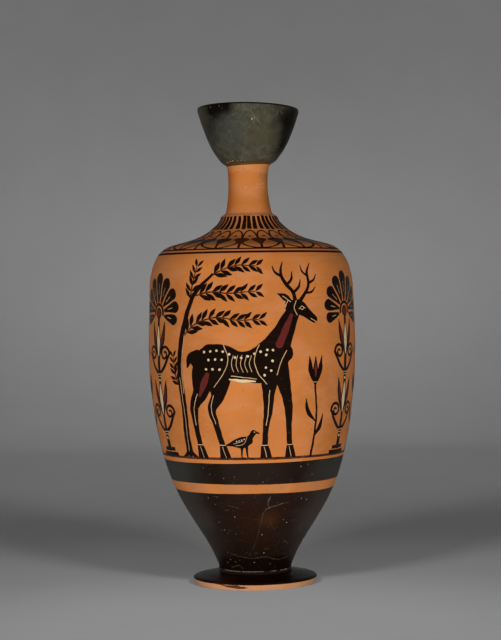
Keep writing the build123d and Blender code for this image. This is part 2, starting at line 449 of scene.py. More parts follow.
def limb(*points):
    """The outline of a brush stroke through points (x, y, width), round at its ends."""
    line = smooth_line(points, STROKE_STEP)
    ahead = np.gradient(line[:, :2], axis=0)
    ahead /= np.linalg.norm(ahead, axis=1)[:, None]
    half = np.clip(line[:, 2:], FINEST_STROKE, None) / 2
    side = np.column_stack((-ahead[:, 1], ahead[:, 0])) * half
    right, left = line[:, :2] - side, line[:, :2] + side
    end = line[-1, :2] - side[-1] * np.cos(CAP_TURNS) + ahead[-1] * half[-1] * np.sin(CAP_TURNS)
    start = line[0, :2] + side[0] * np.cos(CAP_TURNS) - ahead[0] * half[0] * np.sin(CAP_TURNS)
    parts = [right]
    if half[-1] > FINE_END:
        parts.append(end)
    parts.append(left[::-1])
    if half[0] > FINE_END:
        parts.append(start)
    return np.vstack(parts)


def stroke(width, *points):
    """A line of even width."""
    return limb(*((x, y, width) for x, y in points))


def disc(x, y, radius):
    """A round dot."""
    turn = np.arange(DISC_SIDES) * 2 * math.pi / DISC_SIDES
    return np.column_stack((x + radius * np.cos(turn), y + radius * np.sin(turn)))


def arc(width, x, y, radius, start, end):
    """A bent line of even width round a centre, from one angle in degrees to another."""
    turn = np.radians(np.linspace(start, end, ARC_POINTS))
    return stroke(width, *zip(x + radius * np.cos(turn), y + radius * np.sin(turn)))


def spiral(x, y, radius, start, turns, width):
    """A volute that winds in to its centre; negative turns wind clockwise."""
    steps = np.linspace(0, 1, VOLUTE_POINTS + int(VOLUTE_POINTS_PER_TURN * abs(turns)))
    turn = math.radians(start) + steps * turns * 2 * math.pi
    reach = radius * (1 - VOLUTE_SHRINK * steps)
    widths = width * (1 - VOLUTE_THINNING * steps)
    return limb(*zip(x + reach * np.cos(turn), y + reach * np.sin(turn), widths))


def block(*points):
    """A shape with straight sides."""
    return np.array(points, float)


def dense(shape, step):
    """The same outline with its long sides divided."""
    points = []
    for a, b in zip(shape, np.roll(shape, -1, axis=0)):
        count = max(1, math.ceil(np.hypot(*(b - a)) / step))
        points.extend(a + (b - a) * i / count for i in range(count))
    return np.array(points)


# Each wave of the hand has a size, its turn per millimetre along x and along y, and its start.
ACROSS_WAVES = ((1, 0.55, 0.31, 0.7), (1, -0.27, 0.83, 2.1), (0.5, 1.9, 1.3, 0))
UPWARD_WAVES = ((1, 0.36, 0.49, 1.9), (1, 0.77, -0.22, 0.4), (0.5, -1.1, 2.1, 0))
WAVE_SHARE = 0.4


def hand_drawn(shape, wander):
    """An outline strays a little, as a hand does. Shapes that touch stray together."""
    x, y = shape.T
    across, upward = (
        sum(size * np.sin(x * along + y * up + start) for size, along, up, start in waves)
        for waves in (ACROSS_WAVES, UPWARD_WAVES)
    )
    return shape + wander * WAVE_SHARE * np.column_stack((across, upward))


def anticlockwise(shape):
    """The outline in the direction that keeps its inside on the left."""
    x, y = shape.T
    area = np.dot(x, np.roll(y, -1)) - np.dot(y, np.roll(x, -1))
    return shape if area > 0 else shape[::-1]


class Drawing:
    """Shapes of painted work, each with the colour that fills it."""

    def __init__(self):
        self.shapes = []

    def add(self, colour, *shapes):
        """Adds shapes of one colour."""
        self.shapes.extend((colour, np.asarray(shape, float)) for shape in shapes)

    def brush(self, colour, *strokes):
        """Adds brush strokes, each through its points (x, y, width)."""
        self.add(colour, *(limb(*points) for points in strokes))

    def incise(self, width, *lines):
        """Adds incised lines of one width, each through its points (x, y)."""
        self.add("incised", *(stroke(width, *points) for points in lines))

    def include(self, other, x=0.0, y=0.0, size=1.0, flip=False):
        """Adds another drawing, scaled, turned left for right and moved."""
        scale = np.array([-size if flip else size, size])
        self.shapes.extend((colour, shape * scale + (x, y)) for colour, shape in other.shapes)


class Slabs:
    """Thin slabs of paint on a skin, gathered into one mesh. Their undersides are sunk into the clay."""

    SINK = 0.25

    def __init__(self, skin, lift):
        self.skin = skin
        self.lift = lift
        self.vertices = []
        self.faces = []
        self.count = 0

    def add(self, points, triangles):
        """Adds the slabs over some triangles of the flat drawing: tops, hidden undersides and walls."""
        if not triangles:
            return
        used = sorted({corner for triangle in triangles for corner in triangle})
        place = {old: new for new, old in enumerate(used)}
        flat = points[used]
        upper, lower = self.count, self.count + len(used)
        self.vertices.append(self.skin.place(flat, self.lift))
        self.vertices.append(self.skin.place(flat, -self.SINK))
        self.count += 2 * len(used)
        sides = set()
        for a, b, c in ([place[corner] for corner in triangle] for triangle in triangles):
            self.faces.append((upper + a, upper + b, upper + c))
            self.faces.append((lower + c, lower + b, lower + a))
            sides.update(((a, b), (b, c), (c, a)))
        for a, b in sorted(sides):
            if (b, a) not in sides:
                self.faces.append((upper + a, lower + a, lower + b, upper + b))

    def piece(self, name, finish, slot):
        """The finished piece."""
        if not self.faces:
            raise RuntimeError(f"nothing was drawn for {name}")
        return add_piece(name, np.vstack(self.vertices), self.faces, finish)


MERGE_DISTANCE = 1e-5


def triangulate(shapes, grid, step, wander):
    """Cuts overlapping shapes into triangles. Gives the points, the triangles and the colours over each."""
    corners = []
    faces = []
    for _, shape in shapes:
        shape = anticlockwise(dense(shape, step))
        if wander:
            shape = hand_drawn(shape, wander)
        faces.append(list(range(len(corners), len(corners) + len(shape))))
        corners.extend(shape)
    low, high = np.min(corners, axis=0), np.max(corners, axis=0)
    for i, y in enumerate(np.arange(low[1] + grid / 2, high[1], grid)):
        shift = grid * (0.25 + 0.5 * (i % 2))
        corners.extend((x, y) for x in np.arange(low[0] + shift, high[0], grid))
    corners = [Vector(p) for p in corners]
    points, _, triangles, _, _, origins = delaunay_2d_cdt(corners, [], faces, 0, MERGE_DISTANCE)
    over = [{shapes[face][0] for face in origin} for origin in origins]
    return np.array([tuple(p) for p in points]), [tuple(t) for t in triangles], over


def shown(colours):
    """The colour that shows where shapes overlap: a cut through the gloss shows its own floor."""
    if "gloss" in colours:
        return next((cut for cut in ("incised", "worn") if cut in colours), "gloss")
    return "dilute" if "dilute" in colours else ""


def spread(drawing, slabs, grid, step=1.6, wander=0.0):
    """Lays a drawing's colours on their slabs."""
    under = [item for item in drawing.shapes if item[0] not in ("cream", "red")]
    if under:
        points, triangles, over = triangulate(under, grid, step, wander)
        kinds = [shown(colours) for colours in over]
        for colour in slabs:
            slabs[colour].add(points, [t for t, kind in zip(triangles, kinds) if kind == colour])
    for colour in ("cream", "red"):
        added = [item for item in drawing.shapes if item[0] == colour]
        if added:
            points, triangles, over = triangulate(added, grid, step, wander)
            slabs[colour].add(points, [t for t, o in zip(triangles, over) if o])


EDGE_WAVES = (2, 3, 5, 9, 14, 23, 37)
EDGE_SWING = (0.4, 1.0)
EDGE_FADE = 0.6
BAND_POINTS = 221
FLAKE_CORNERS = 9
FLAKE_REACH = (0.55, 1.1)
CRACK_STEP = 1.3
CRACK_STRAY = 0.3
CRACK_WIDTHS = (0.35, 1.3)


def uneven(x, half, size, seed):
    """A gently uneven edge that closes on itself round the pot."""
    waves = random.Random(seed)
    turn = x / half * math.pi
    edge = np.zeros_like(turn)
    for count in EDGE_WAVES:
        swing = waves.uniform(*EDGE_SWING) / count**EDGE_FADE
        edge += swing * np.sin(count * turn + waves.uniform(0, 2 * math.pi))
    return edge * size


def band(skin, low, high, roughness, seed, tilt=0.0):
    """A strip round the pot between two places on the wall, with uneven edges."""
    x = np.linspace(-skin.half, skin.half, BAND_POINTS)
    lift = tilt * np.sin(x / skin.reach)
    lower = low + uneven(x, skin.half, roughness, seed)
    upper = high + uneven(x, skin.half, roughness, seed + 1) + lift
    return np.vstack((np.column_stack((x, lower)), np.column_stack((x, upper))[::-1]))


def flake(skin, x, s, size, luck):
    """A small chip with a broken edge."""
    turn = np.sort([luck.uniform(0, 2 * math.pi) for _ in range(FLAKE_CORNERS)])
    reach = size * np.array([luck.uniform(*FLAKE_REACH) for _ in turn])
    return np.column_stack((x + reach * np.cos(turn) * skin.stretch_at(s), s + reach * np.sin(turn)))


def crack(skin, luck, width, *seen):
    """A ragged crack through places given as they show from the front."""
    line = smooth_line([skin.seen_from_front(*place) for place in seen], CRACK_STEP)
    ragged = []
    for x, s in line:
        x += luck.uniform(-CRACK_STRAY, CRACK_STRAY)
        s += luck.uniform(-CRACK_STRAY, CRACK_STRAY)
        ragged.append((x, s, width * luck.uniform(*CRACK_WIDTHS)))
    return limb(*ragged)


def add_flakes(drawing, colour, skin, places, luck):
    """Adds chips at places (across, height, size) as they show from the front."""
    for across, z, size in places:
        drawing.add(colour, flake(skin, *skin.seen_from_front(across, z), size, luck))


# Finishes


def toned(colour, *factors):
    """A colour with each of its parts made darker or lighter."""
    return tuple(min(1.0, part * factor) for part, factor in zip(colour, factors))


def shade(colour, factor):
    """A colour made darker or lighter."""
    return toned(colour, factor, factor, factor)


class Finish:
    """One fired or painted surface: nodes round a Principled shader, in the pot's own coordinates."""

    CLOUD_SHIFT = (0.31, 0.17, 0.23)

    def __init__(self, name):
        self.material = bpy.data.materials.new(name)
        self.material.use_nodes = True
        self.tree = self.material.node_tree
        self.shader = self.tree.nodes["Principled BSDF"]
        self.coordinates = self.tree.nodes.new("ShaderNodeTexCoord").outputs["Object"]
        self.clouds = 0

    def feed(self, socket, value):
        """Links a value from another node, or sets a fixed one."""
        if isinstance(value, bpy.types.NodeSocket):
            self.tree.links.new(value, socket)
        elif socket.type == "RGBA":
            socket.default_value = (*value, 1.0)
        else:
            socket.default_value = value

    def cloud(self, size, stretch=(1.0, 1.0, 1.0), detail=3.0, warp=0.0):
        """A cloudy value with patches about size millimetres across; a small stretch draws them out."""
        self.clouds += 1
        moved = self.tree.nodes.new("ShaderNodeMapping")
        self.feed(moved.inputs["Vector"], self.coordinates)
        moved.inputs["Scale"].default_value = stretch
        moved.inputs["Location"].default_value = [part * self.clouds for part in self.CLOUD_SHIFT]
        noise = self.tree.nodes.new("ShaderNodeTexNoise")
        self.feed(noise.inputs["Vector"], moved.outputs["Vector"])
        noise.inputs["Scale"].default_value = 1 / (size * MM)
        noise.inputs["Detail"].default_value = detail
        noise.inputs["Distortion"].default_value = warp
        return noise.outputs["Fac"]

    def height(self, lean=0.0, tip=0.0):
        """The height in millimetres above a floor that falls to the right and to the back by these angles."""
        across = self.tree.nodes.new("ShaderNodeVectorMath")
        across.operation = "DOT_PRODUCT"
        self.feed(across.inputs[0], self.coordinates)
        across.inputs[1].default_value = (math.tan(lean) / MM, math.tan(tip) / MM, 1 / MM)
        return across.outputs["Value"]

    def away(self, place):
        """The distance from a place in millimetres."""
        apart = self.tree.nodes.new("ShaderNodeVectorMath")
        apart.operation = "DISTANCE"
        self.feed(apart.inputs[0], self.coordinates)
        apart.inputs[1].default_value = [part * MM for part in place]
        return self.times(apart.outputs["Value"], 1 / MM)

    def patch(self, place, reach):
        """A soft cloudy patch round a place in millimetres: 1 in its middle, 0 at its reach."""
        ragged = self.plus(self.away(place), self.times(self.cloud(reach * 0.4, detail=4), reach * 0.5))
        return self.fit(ragged, reach * 1.2, reach * 0.35)

    def fit(self, value, low, high, start=0.0, end=1.0):
        """A value from low to high, brought smoothly to the range from start to end."""
        fitted = self.tree.nodes.new("ShaderNodeMapRange")
        fitted.interpolation_type = "SMOOTHSTEP"
        for socket, number in zip(fitted.inputs, (value, low, high, start, end)):
            self.feed(socket, number)
        return fitted.outputs["Result"]

    def sum(self, operation, first, second):
        """One step of arithmetic."""
        step = self.tree.nodes.new("ShaderNodeMath")
        step.operation = operation
        self.feed(step.inputs[0], first)
        self.feed(step.inputs[1], second)
        return step.outputs["Value"]

    def times(self, first, second):
        """A product."""
        return self.sum("MULTIPLY", first, second)

    def plus(self, first, second):
        """A sum."""
        return self.sum("ADD", first, second)

    def mix(self, share, first, second):
        """Two colours, mixed by a share of the second."""
        mixed = self.tree.nodes.new("ShaderNodeMix")
        mixed.data_type = "RGBA"
        self.feed(mixed.inputs[0], share)
        self.feed(mixed.inputs[6], first)
        self.feed(mixed.inputs[7], second)
        return mixed.outputs[2]

    def over(self, below, mask, strength, tint):
        """A colour with a tint laid over it where the mask is bright, up to this strength."""
        return self.mix(self.times(mask, strength), below, tint)

    def steps(self, value, *ranges):
        """The sum of several smooth steps of one value."""
        total = self.fit(value, *ranges[0])
        for step in ranges[1:]:
            total = self.plus(total, self.fit(value, *step))
        return total

    def relief(self, height, depth):
        """Small relief of about this depth in millimetres."""
        bump = self.tree.nodes.new("ShaderNodeBump")
        bump.inputs["Distance"].default_value = depth * MM
        self.feed(bump.inputs["Height"], height)
        self.feed(self.shader.inputs["Normal"], bump.outputs["Normal"])

    def done(self, colour, roughness, specular=0.5):
        """The finished material."""
        self.feed(self.shader.inputs["Base Color"], colour)
        self.feed(self.shader.inputs["Roughness"], roughness)
        self.shader.inputs["Specular IOR Level"].default_value = specular
        return self.material


# Stretches that draw clouds out: round the pot, in brush strokes, along the handle, and in scratches
AROUND = (0.03, 0.03, 1.0)
BRUSHED = (0.06, 0.06, 1.0)
PULLED = (1.0, 0.12, 0.12)
SCRATCHED = (0.35, 0.35, 2.4)
UPRIGHT = (1.4, 1.4, 0.5)

PIT_TINT = (0.22, 0.115, 0.055)
SCRATCH_TINT = (0.16, 0.11, 0.075)
# Black of the lip, the pits and the mouth's dark patches, which are partly painted shade.
BLACK_AND_PAINTED_SHADE = (0.0045, 0.0032, 0.0018)
MOUTH_SMOKE = (0.038, 0.030, 0.018)
MOUTH_SCRATCH = (0.15, 0.135, 0.1)
MOUTH_EDGE_BROWN = (0.088, 0.05, 0.013)


def clay_finish(name, colour, wear=1.0, bleached=None, patches=()):
    """Burnished orange clay: patches from the kiln, marks of the wheel, grit, scuffs, dark specks and given
    patches, which on the neck are painted shade.
    """
    clay = Finish(name)
    fired = clay.fit(clay.cloud(38, detail=4), 0.32, 0.7)
    wheel = clay.cloud(1.5, AROUND, detail=5)
    grit = clay.cloud(0.45, detail=2)
    skin = clay.mix(fired, shade(colour, 0.87), shade(colour, 1.06))
    skin = clay.over(skin, clay.fit(wheel, 0.5, 0.72), 0.28, shade(colour, 0.78))
    skin = clay.over(skin, clay.fit(grit, 0.55, 0.8), 0.3, shade(colour, 0.72))
    chalk = clay.fit(clay.cloud(16, (1.0, 1.0, 1.8), detail=5), 0.46, 0.68)
    skin = clay.over(skin, chalk, 0.6, toned(colour, 1.0, 1.16, 1.9))
    for place, reach, tint in patches:
        skin = clay.over(skin, clay.patch(place, reach), 0.8, tint)
    scuffs = clay.fit(clay.cloud(4.5, (1.0, 1.0, 2.2), detail=6, warp=0.6), 0.63, 0.76)
    pale = toned(colour, 1.12, 1.35, 1.9)
    skin = clay.over(skin, scuffs, 0.32 * wear, pale)
    if bleached:
        ragged = clay.plus(clay.height(), clay.times(clay.cloud(7, detail=5), 9.0))
        skin = clay.over(skin, clay.fit(ragged, bleached + 3.4, bleached + 6.2), 0.5, pale)
    specks = clay.fit(clay.cloud(1.3, detail=1), 0.735, 0.775)
    skin = clay.over(skin, specks, 0.65, shade(colour, 0.16))
    clay.relief(clay.plus(clay.times(wheel, 0.8), clay.times(grit, 0.35)), 0.1)
    return clay.done(skin, clay.fit(fired, 0.0, 1.0, 0.58, 0.46), 0.2)


def gloss_finish(name, colour, glow, flecks=1.0, patches=(), shine=0.14, dipped=None):
    """Fired black gloss: brown where it is thin, brushed round the pot, with pale flecks and scratches, and
    tinted by given patches, of which the bands' grey ones are painted sheen.
    """
    gloss = Finish(name)
    thin = gloss.fit(gloss.cloud(55, detail=4, warp=0.4), 0.42, 0.72)
    brushed = gloss.cloud(2.2, BRUSHED, detail=4)
    fine = gloss.cloud(0.6, detail=3)
    film = gloss.over(colour, thin, 0.75, glow)
    film = gloss.over(film, gloss.fit(brushed, 0.52, 0.75), 0.35, shade(glow, 1.15))
    for place, reach, tint in patches:
        film = gloss.over(film, gloss.patch(place, reach), 0.8, tint)
    if dipped:
        ragged = gloss.plus(gloss.height(), gloss.times(gloss.cloud(9, detail=4), 5.0))
        film = gloss.over(film, gloss.fit(ragged, dipped + 3.4, dipped + 2.0), 0.8, shade(colour, 0.35))
    pits = gloss.fit(gloss.cloud(1.5, detail=2), 0.71, 0.75)
    film = gloss.over(film, pits, 0.5 * flecks, PIT_TINT)
    scratches = gloss.fit(gloss.cloud(3.2, SCRATCHED, detail=7, warp=1.2), 0.655, 0.7)
    film = gloss.over(film, scratches, 0.16 * flecks, SCRATCH_TINT)
    gloss.relief(gloss.plus(gloss.times(brushed, 0.6), gloss.times(fine, 0.4)), 0.07)
    worn = gloss.plus(gloss.fit(thin, 0.0, 1.0, 0.34, 0.44), gloss.times(scratches, 0.15))
    return gloss.done(film, worn, shine)


def mouth_finish(name, colour, sizes):
    """Gloss that fired to olive grey: mottled and dull, black at the lip and brown at its lower edge, with
    painted shade darkening its left and right sides.
    """
    mouth = Finish(name)
    mottle = mouth.fit(mouth.cloud(4.5, detail=7, warp=0.7), 0.32, 0.7)
    drift = mouth.fit(mouth.cloud(26, detail=3), 0.35, 0.68)
    film = mouth.mix(mottle, shade(colour, 0.6), shade(colour, 1.12))
    film = mouth.over(film, drift, 0.35, MOUTH_SMOKE)
    # Painted shade at the mouth's left and right sides, and a dark patch at its upper left that is partly a
    # mark in the gloss and partly painted shade.
    for place, reach, strength in MOUTH_MARKS_AND_SHADE:
        film = mouth.over(film, mouth.patch(place, reach), strength, BLACK_AND_PAINTED_SHADE)
    scratches = mouth.fit(mouth.cloud(2.4, UPRIGHT, detail=7, warp=1.5), 0.64, 0.7)
    film = mouth.over(film, scratches, 0.3, MOUTH_SCRATCH)
    pits = mouth.fit(mouth.cloud(1.1, detail=2), 0.7, 0.75)
    film = mouth.over(film, pits, 0.55, BLACK_AND_PAINTED_SHADE)
    ragged = mouth.plus(mouth.height(), mouth.times(mouth.cloud(5, detail=4), 4.0))
    film = mouth.over(film, mouth.fit(ragged, MOUTH_LOW + 4.9, MOUTH_LOW + 1.8), 0.8, MOUTH_EDGE_BROWN)
    for place, reach, tint in MOUTH_TINTS:
        film = mouth.over(film, mouth.patch(place, reach), 0.6, tint)
    lip = MOUTH_HIGH - sizes.mouth_sink
    level = mouth.height(sizes.mouth_lean, sizes.mouth_tip)
    film = mouth.mix(mouth.fit(level, lip - 1.2, lip - 0.7), film, BLACK_AND_PAINTED_SHADE)
    mouth.relief(mouth.plus(mottle, mouth.times(mouth.cloud(0.7), 0.7)), 0.1)
    return mouth.done(film, mouth.fit(mottle, 0.0, 1.0, 0.4, 0.52), 0.08)


def thin_paint_finish(name, colour, under, cover=0.8, shine=0.35):
    """Matt paint that lets what is under it show where it is thin."""
    paint = Finish(name)
    thin = paint.fit(paint.cloud(2.6, detail=5), 0.35, 0.75)
    grain = paint.cloud(0.5, detail=3)
    film = paint.over(colour, thin, 1 - cover, under)
    film = paint.over(film, paint.fit(grain, 0.5, 0.8), 0.35, shade(colour, 0.7))
    paint.relief(grain, 0.05)
    return paint.done(film, paint.fit(thin, 0.0, 1.0, 0.62, 0.48), shine)


def joint_finish(name, slip, gloss, covered=0.46, level=None):
    """Slip in a joint under the gloss: bare in broken stretches above a level, black in the rest."""
    joint = Finish(name)
    bare = joint.fit(joint.cloud(6, (1.0, 1.0, 0.4), detail=5), covered, covered + 0.12)
    grain = joint.cloud(0.6, detail=3)
    clean = joint.mix(grain, shade(slip, 0.7), shade(slip, 1.1))
    if level:
        ragged = joint.plus(joint.height(), joint.times(joint.cloud(1.5, (1.0, 1.0, 0.3), detail=3), 0.5))
        bare = joint.times(bare, joint.fit(ragged, level + 0.2, level + 0.3))
        clean = joint.mix(joint.fit(joint.cloud(4, detail=2), 0.5, 0.68), clean, shade(slip, 2.6))
    film = joint.mix(bare, gloss, clean)
    joint.relief(grain, 0.08)
    return joint.done(film, joint.fit(bare, 0.0, 1.0, 0.4, 0.7), 0.4)


INNER_FACE = "inner_face"


def handle_finish(name, gloss, glow, clay):
    """Black gloss on a strap whose inner face is left as clay."""
    strap = Finish(name)
    inner = strap.tree.nodes.new("ShaderNodeAttribute")
    inner.attribute_name = INNER_FACE
    ragged = strap.plus(inner.outputs["Fac"], strap.times(strap.cloud(3, detail=4), 0.25))
    thin = strap.fit(strap.cloud(18, detail=4), 0.45, 0.75)
    pulled = strap.cloud(1.6, PULLED, detail=4)
    film = strap.over(gloss, thin, 0.7, glow)
    pits = strap.fit(strap.cloud(1.4, detail=2), 0.71, 0.75)
    film = strap.over(film, pits, 0.5, PIT_TINT)
    film = strap.mix(strap.fit(ragged, 0.72, 0.8), film, strap.mix(thin, clay, shade(clay, 0.8)))
    strap.relief(pulled, 0.12)
    return strap.done(film, strap.fit(ragged, 0.6, 0.9, 0.3, 0.55), 0.5)


# The paper's painted light and shade, a painted pool of light round the pot and painted shade in its bend:
# each step has two distances in millimetres and the tones at them.
PAPER_CENTRE = (0, -200, 0)
PAINTED_PAPER_LIGHT = ((100, 460, 0.825, 0.265), (430, 1180, 0.0, 0.495))
# Painted shade that darkens the paper where the floor lamps shine brightest, near the pot.
PAINTED_LAMP_SHADE = ((240, 450, 0.233, 0.42), (1000, 1300, 0.0, 0.07), (1400, 1880, 0.0, 0.39))
BACKDROP_CENTRE = (0, 1250, 100)
# Painted fall-off: the paper darkens away from the middle of the backdrop.
PAINTED_BACKDROP_FALLOFF = (50, 650, 1.0, 0.74)
BOUNCE_FALL = (0.0, 400.0, 1.0, 0.3)


def paper_finish(name, colour):
    """Seamless studio paper with painted light: a painted pool of light round the pot, painted shade in its
    bend and paler again up the wall.
    """
    paper = Finish(name)
    away = paper.away(PAPER_CENTRE)
    tone = paper.times(paper.steps(away, *PAINTED_PAPER_LIGHT), paper.steps(away, *PAINTED_LAMP_SHADE))
    tone = paper.times(tone, paper.fit(paper.away(BACKDROP_CENTRE), *PAINTED_BACKDROP_FALLOFF))
    tooth = paper.fit(paper.cloud(60, detail=3), 0.3, 0.7, 0.97, 1.0)
    rays = paper.tree.nodes.new("ShaderNodeLightPath").outputs
    mirrored = paper.plus(rays["Is Glossy Ray"], rays["Is Transmission Ray"])
    seen = paper.plus(rays["Is Camera Ray"], mirrored)
    bounced = paper.fit(paper.height(), *BOUNCE_FALL)
    tone = paper.times(paper.times(tone, tooth), paper.fit(seen, 0.0, 1.0, bounced, 1.0))
    return paper.done(paper.mix(tone, shade(colour, 0.03), colour), 0.85, 0.15)


# Patches of other tones, some of them painted shade and painted sheen as noted: a place in millimetres, its
# reach and its colour, or for the mouth its strength
# The first patch and the four grey ones at the sides are painted sheen, a painted reflection of the paper;
# the two brown ones are thin gloss.
BAND_BROWN_AND_SHEEN = (
    ((0, -60, 74), 40, (0.018, 0.0105, 0.0080)),
    ((3, -42, 42), 30, (0.020, 0.0056, 0.0014)),
    ((9, -40, 44), 10, (0.042, 0.013, 0.003)),
    ((-52, -30, 72), 36, (0.036, 0.037, 0.032)),
    ((52, -30, 72), 36, (0.031, 0.031, 0.026)),
    ((-40, -22, 44), 26, (0.036, 0.027, 0.023)),
    ((40, -22, 44), 26, (0.040, 0.026, 0.018)),
)
CLAY_PATCHES = (
    ((-38, -42, 63.5), 14, (0.45, 0.182, 0.075)),
    ((-14, -55, 63.5), 14, (0.45, 0.182, 0.075)),
    ((14, -55, 63.5), 14, (0.45, 0.182, 0.075)),
    ((38, -42, 63.5), 14, (0.45, 0.182, 0.075)),
    ((6, -64, 95), 26, (0.505, 0.168, 0.044)),
    ((0, -42, 217), 24, (0.64, 0.215, 0.052)),
    ((-38, -28, 214), 22, (0.66, 0.222, 0.054)),
    ((38, -28, 214), 22, (0.66, 0.222, 0.054)),
)
# Painted shade: the first four darken the neck's left and right sides; the last is a small brownish patch.
NECK_SIDE_SHADE = (
    ((14, -2, 241), 13, (0.36, 0.125, 0.012)),
    ((14, -2, 256), 13, (0.36, 0.125, 0.012)),
    ((-14.5, -2, 241), 14, (0.45, 0.105, 0.006)),
    ((-14.5, -2, 256), 14, (0.45, 0.105, 0.006)),
    ((9.7, -9.5, 256.3), 5, (0.37, 0.17, 0.075)),
)
FOOT_PATCHES = (((-19, -28, 7), 13, (0.045, 0.008, 0.003)), ((0, -34, 6), 16, (0.016, 0.0015, 0.001)))
# Dark patches on the mouth: at its upper left partly a mark in the gloss and partly painted shade, at its
# left and right sides painted shade, and one over its back.
MOUTH_MARKS_AND_SHADE = (
    ((-22, -22, 297), 14, 1.0),
    ((-13, -28, 299), 9, 1.0),
    ((-17.5, -26, 298), 10, 1.0),
    ((-26, -13, 286), 17, 0.5),
    ((-15, -24, 287), 15, 0.3),
    ((27, -15, 291), 23, 1.0),
    ((31, 0, 288), 21, 1.0),
    ((23, -10, 276), 16, 1.0),
    ((5, 31, 292), 26, 0.85),
)
MOUTH_TINTS = (((-11, -24, 283), 17, (0.055, 0.058, 0.052)), ((11, -24, 280), 16, (0.071, 0.064, 0.036)))
RED_PATCHES = (((0, -44, 214), 26, (0.052, 0.002, 0.0005)), ((34, 40, 214), 30, (0.034, 0.004, 0.002)))
# Single tones, and the heights in millimetres where the neck pales, the dip ends and the slip is bare
OLIVE_SCRATCH = (0.15, 0.135, 0.085)
CHAIN_BROWN = (0.026, 0.0035, 0.0012)
PALE_CHIP = (0.33, 0.29, 0.23)
FOOT_SLIP = (0.12, 0.095, 0.078)
NECK_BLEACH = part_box("neck")[1].z / MM - 5
WALL_DIP = 18.5
FOOT_SLIP_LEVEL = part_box("foot")[1].z / MM + 0.35


def finish(name):
    """The finish of this name, made when it is first asked for."""
    if name in bpy.data.materials:
        return bpy.data.materials[name]
    paints = bpy.context.scene.lekythos_colours
    clay, gloss, glow = (tuple(each) for each in (paints.clay, paints.gloss, paints.glow))
    worn, olive, dilute = (tuple(each) for each in (paints.worn, paints.mouth_gloss, paints.dilute))
    slip = tuple(paints.slip)
    makers = {
        "fired_clay": (clay_finish, clay, 1.0, None, CLAY_PATCHES),
        "neck_clay": (clay_finish, clay, 1.3, NECK_BLEACH, NECK_SIDE_SHADE),
        "foot_clay": (clay_finish, toned(clay, 0.98, 1.34, 2.4), 1.8),
        "pale_slip": (clay_finish, slip, 1.6),
        "band_gloss": (gloss_finish, gloss, glow, 1.0, BAND_BROWN_AND_SHEEN, 0.14, WALL_DIP),
        "foot_gloss": (gloss_finish, shade(gloss, 0.5), shade(glow, 0.4), 0.6, FOOT_PATCHES, 0.07),
        "figure_gloss": (gloss_finish, shade(gloss, 0.8), shade(glow, 0.5), 0.6),
        "shoulder_gloss": (gloss_finish, shade(gloss, 0.8), dilute, 0.6, RED_PATCHES, 0.06),
        "olive_gloss": (mouth_finish, olive, bpy.context.scene.lekythos_sizes),
        "worn_gloss": (thin_paint_finish, worn, shade(worn, 0.3), 0.35),
        "olive_scratches": (thin_paint_finish, OLIVE_SCRATCH, olive, 0.55),
        "chain_gloss": (thin_paint_finish, CHAIN_BROWN, shade(clay, 0.25), 0.9, 0.08),
        "dilute_gloss": (thin_paint_finish, dilute, shade(clay, 0.45), 0.6),
        "pale_chips": (thin_paint_finish, PALE_CHIP, worn, 0.6),
        "incised_clay": (thin_paint_finish, tuple(paints.incised), clay, 0.6),
        "added_cream": (thin_paint_finish, tuple(paints.cream), clay, 0.72),
        "dark_red": (thin_paint_finish, tuple(paints.red), gloss, 0.7),
        "broken_slip": (joint_finish, slip, gloss),
        "foot_slip": (joint_finish, FOOT_SLIP, gloss, 0.4, FOOT_SLIP_LEVEL),
        "strap_gloss": (handle_finish, gloss, glow, clay),
        "studio_paper": (paper_finish, tuple(paints.paper)),
    }
    maker, *settings = makers[name]
    return maker(name, *settings)


# Motifs of the frieze, drawn with the ground at y = 0


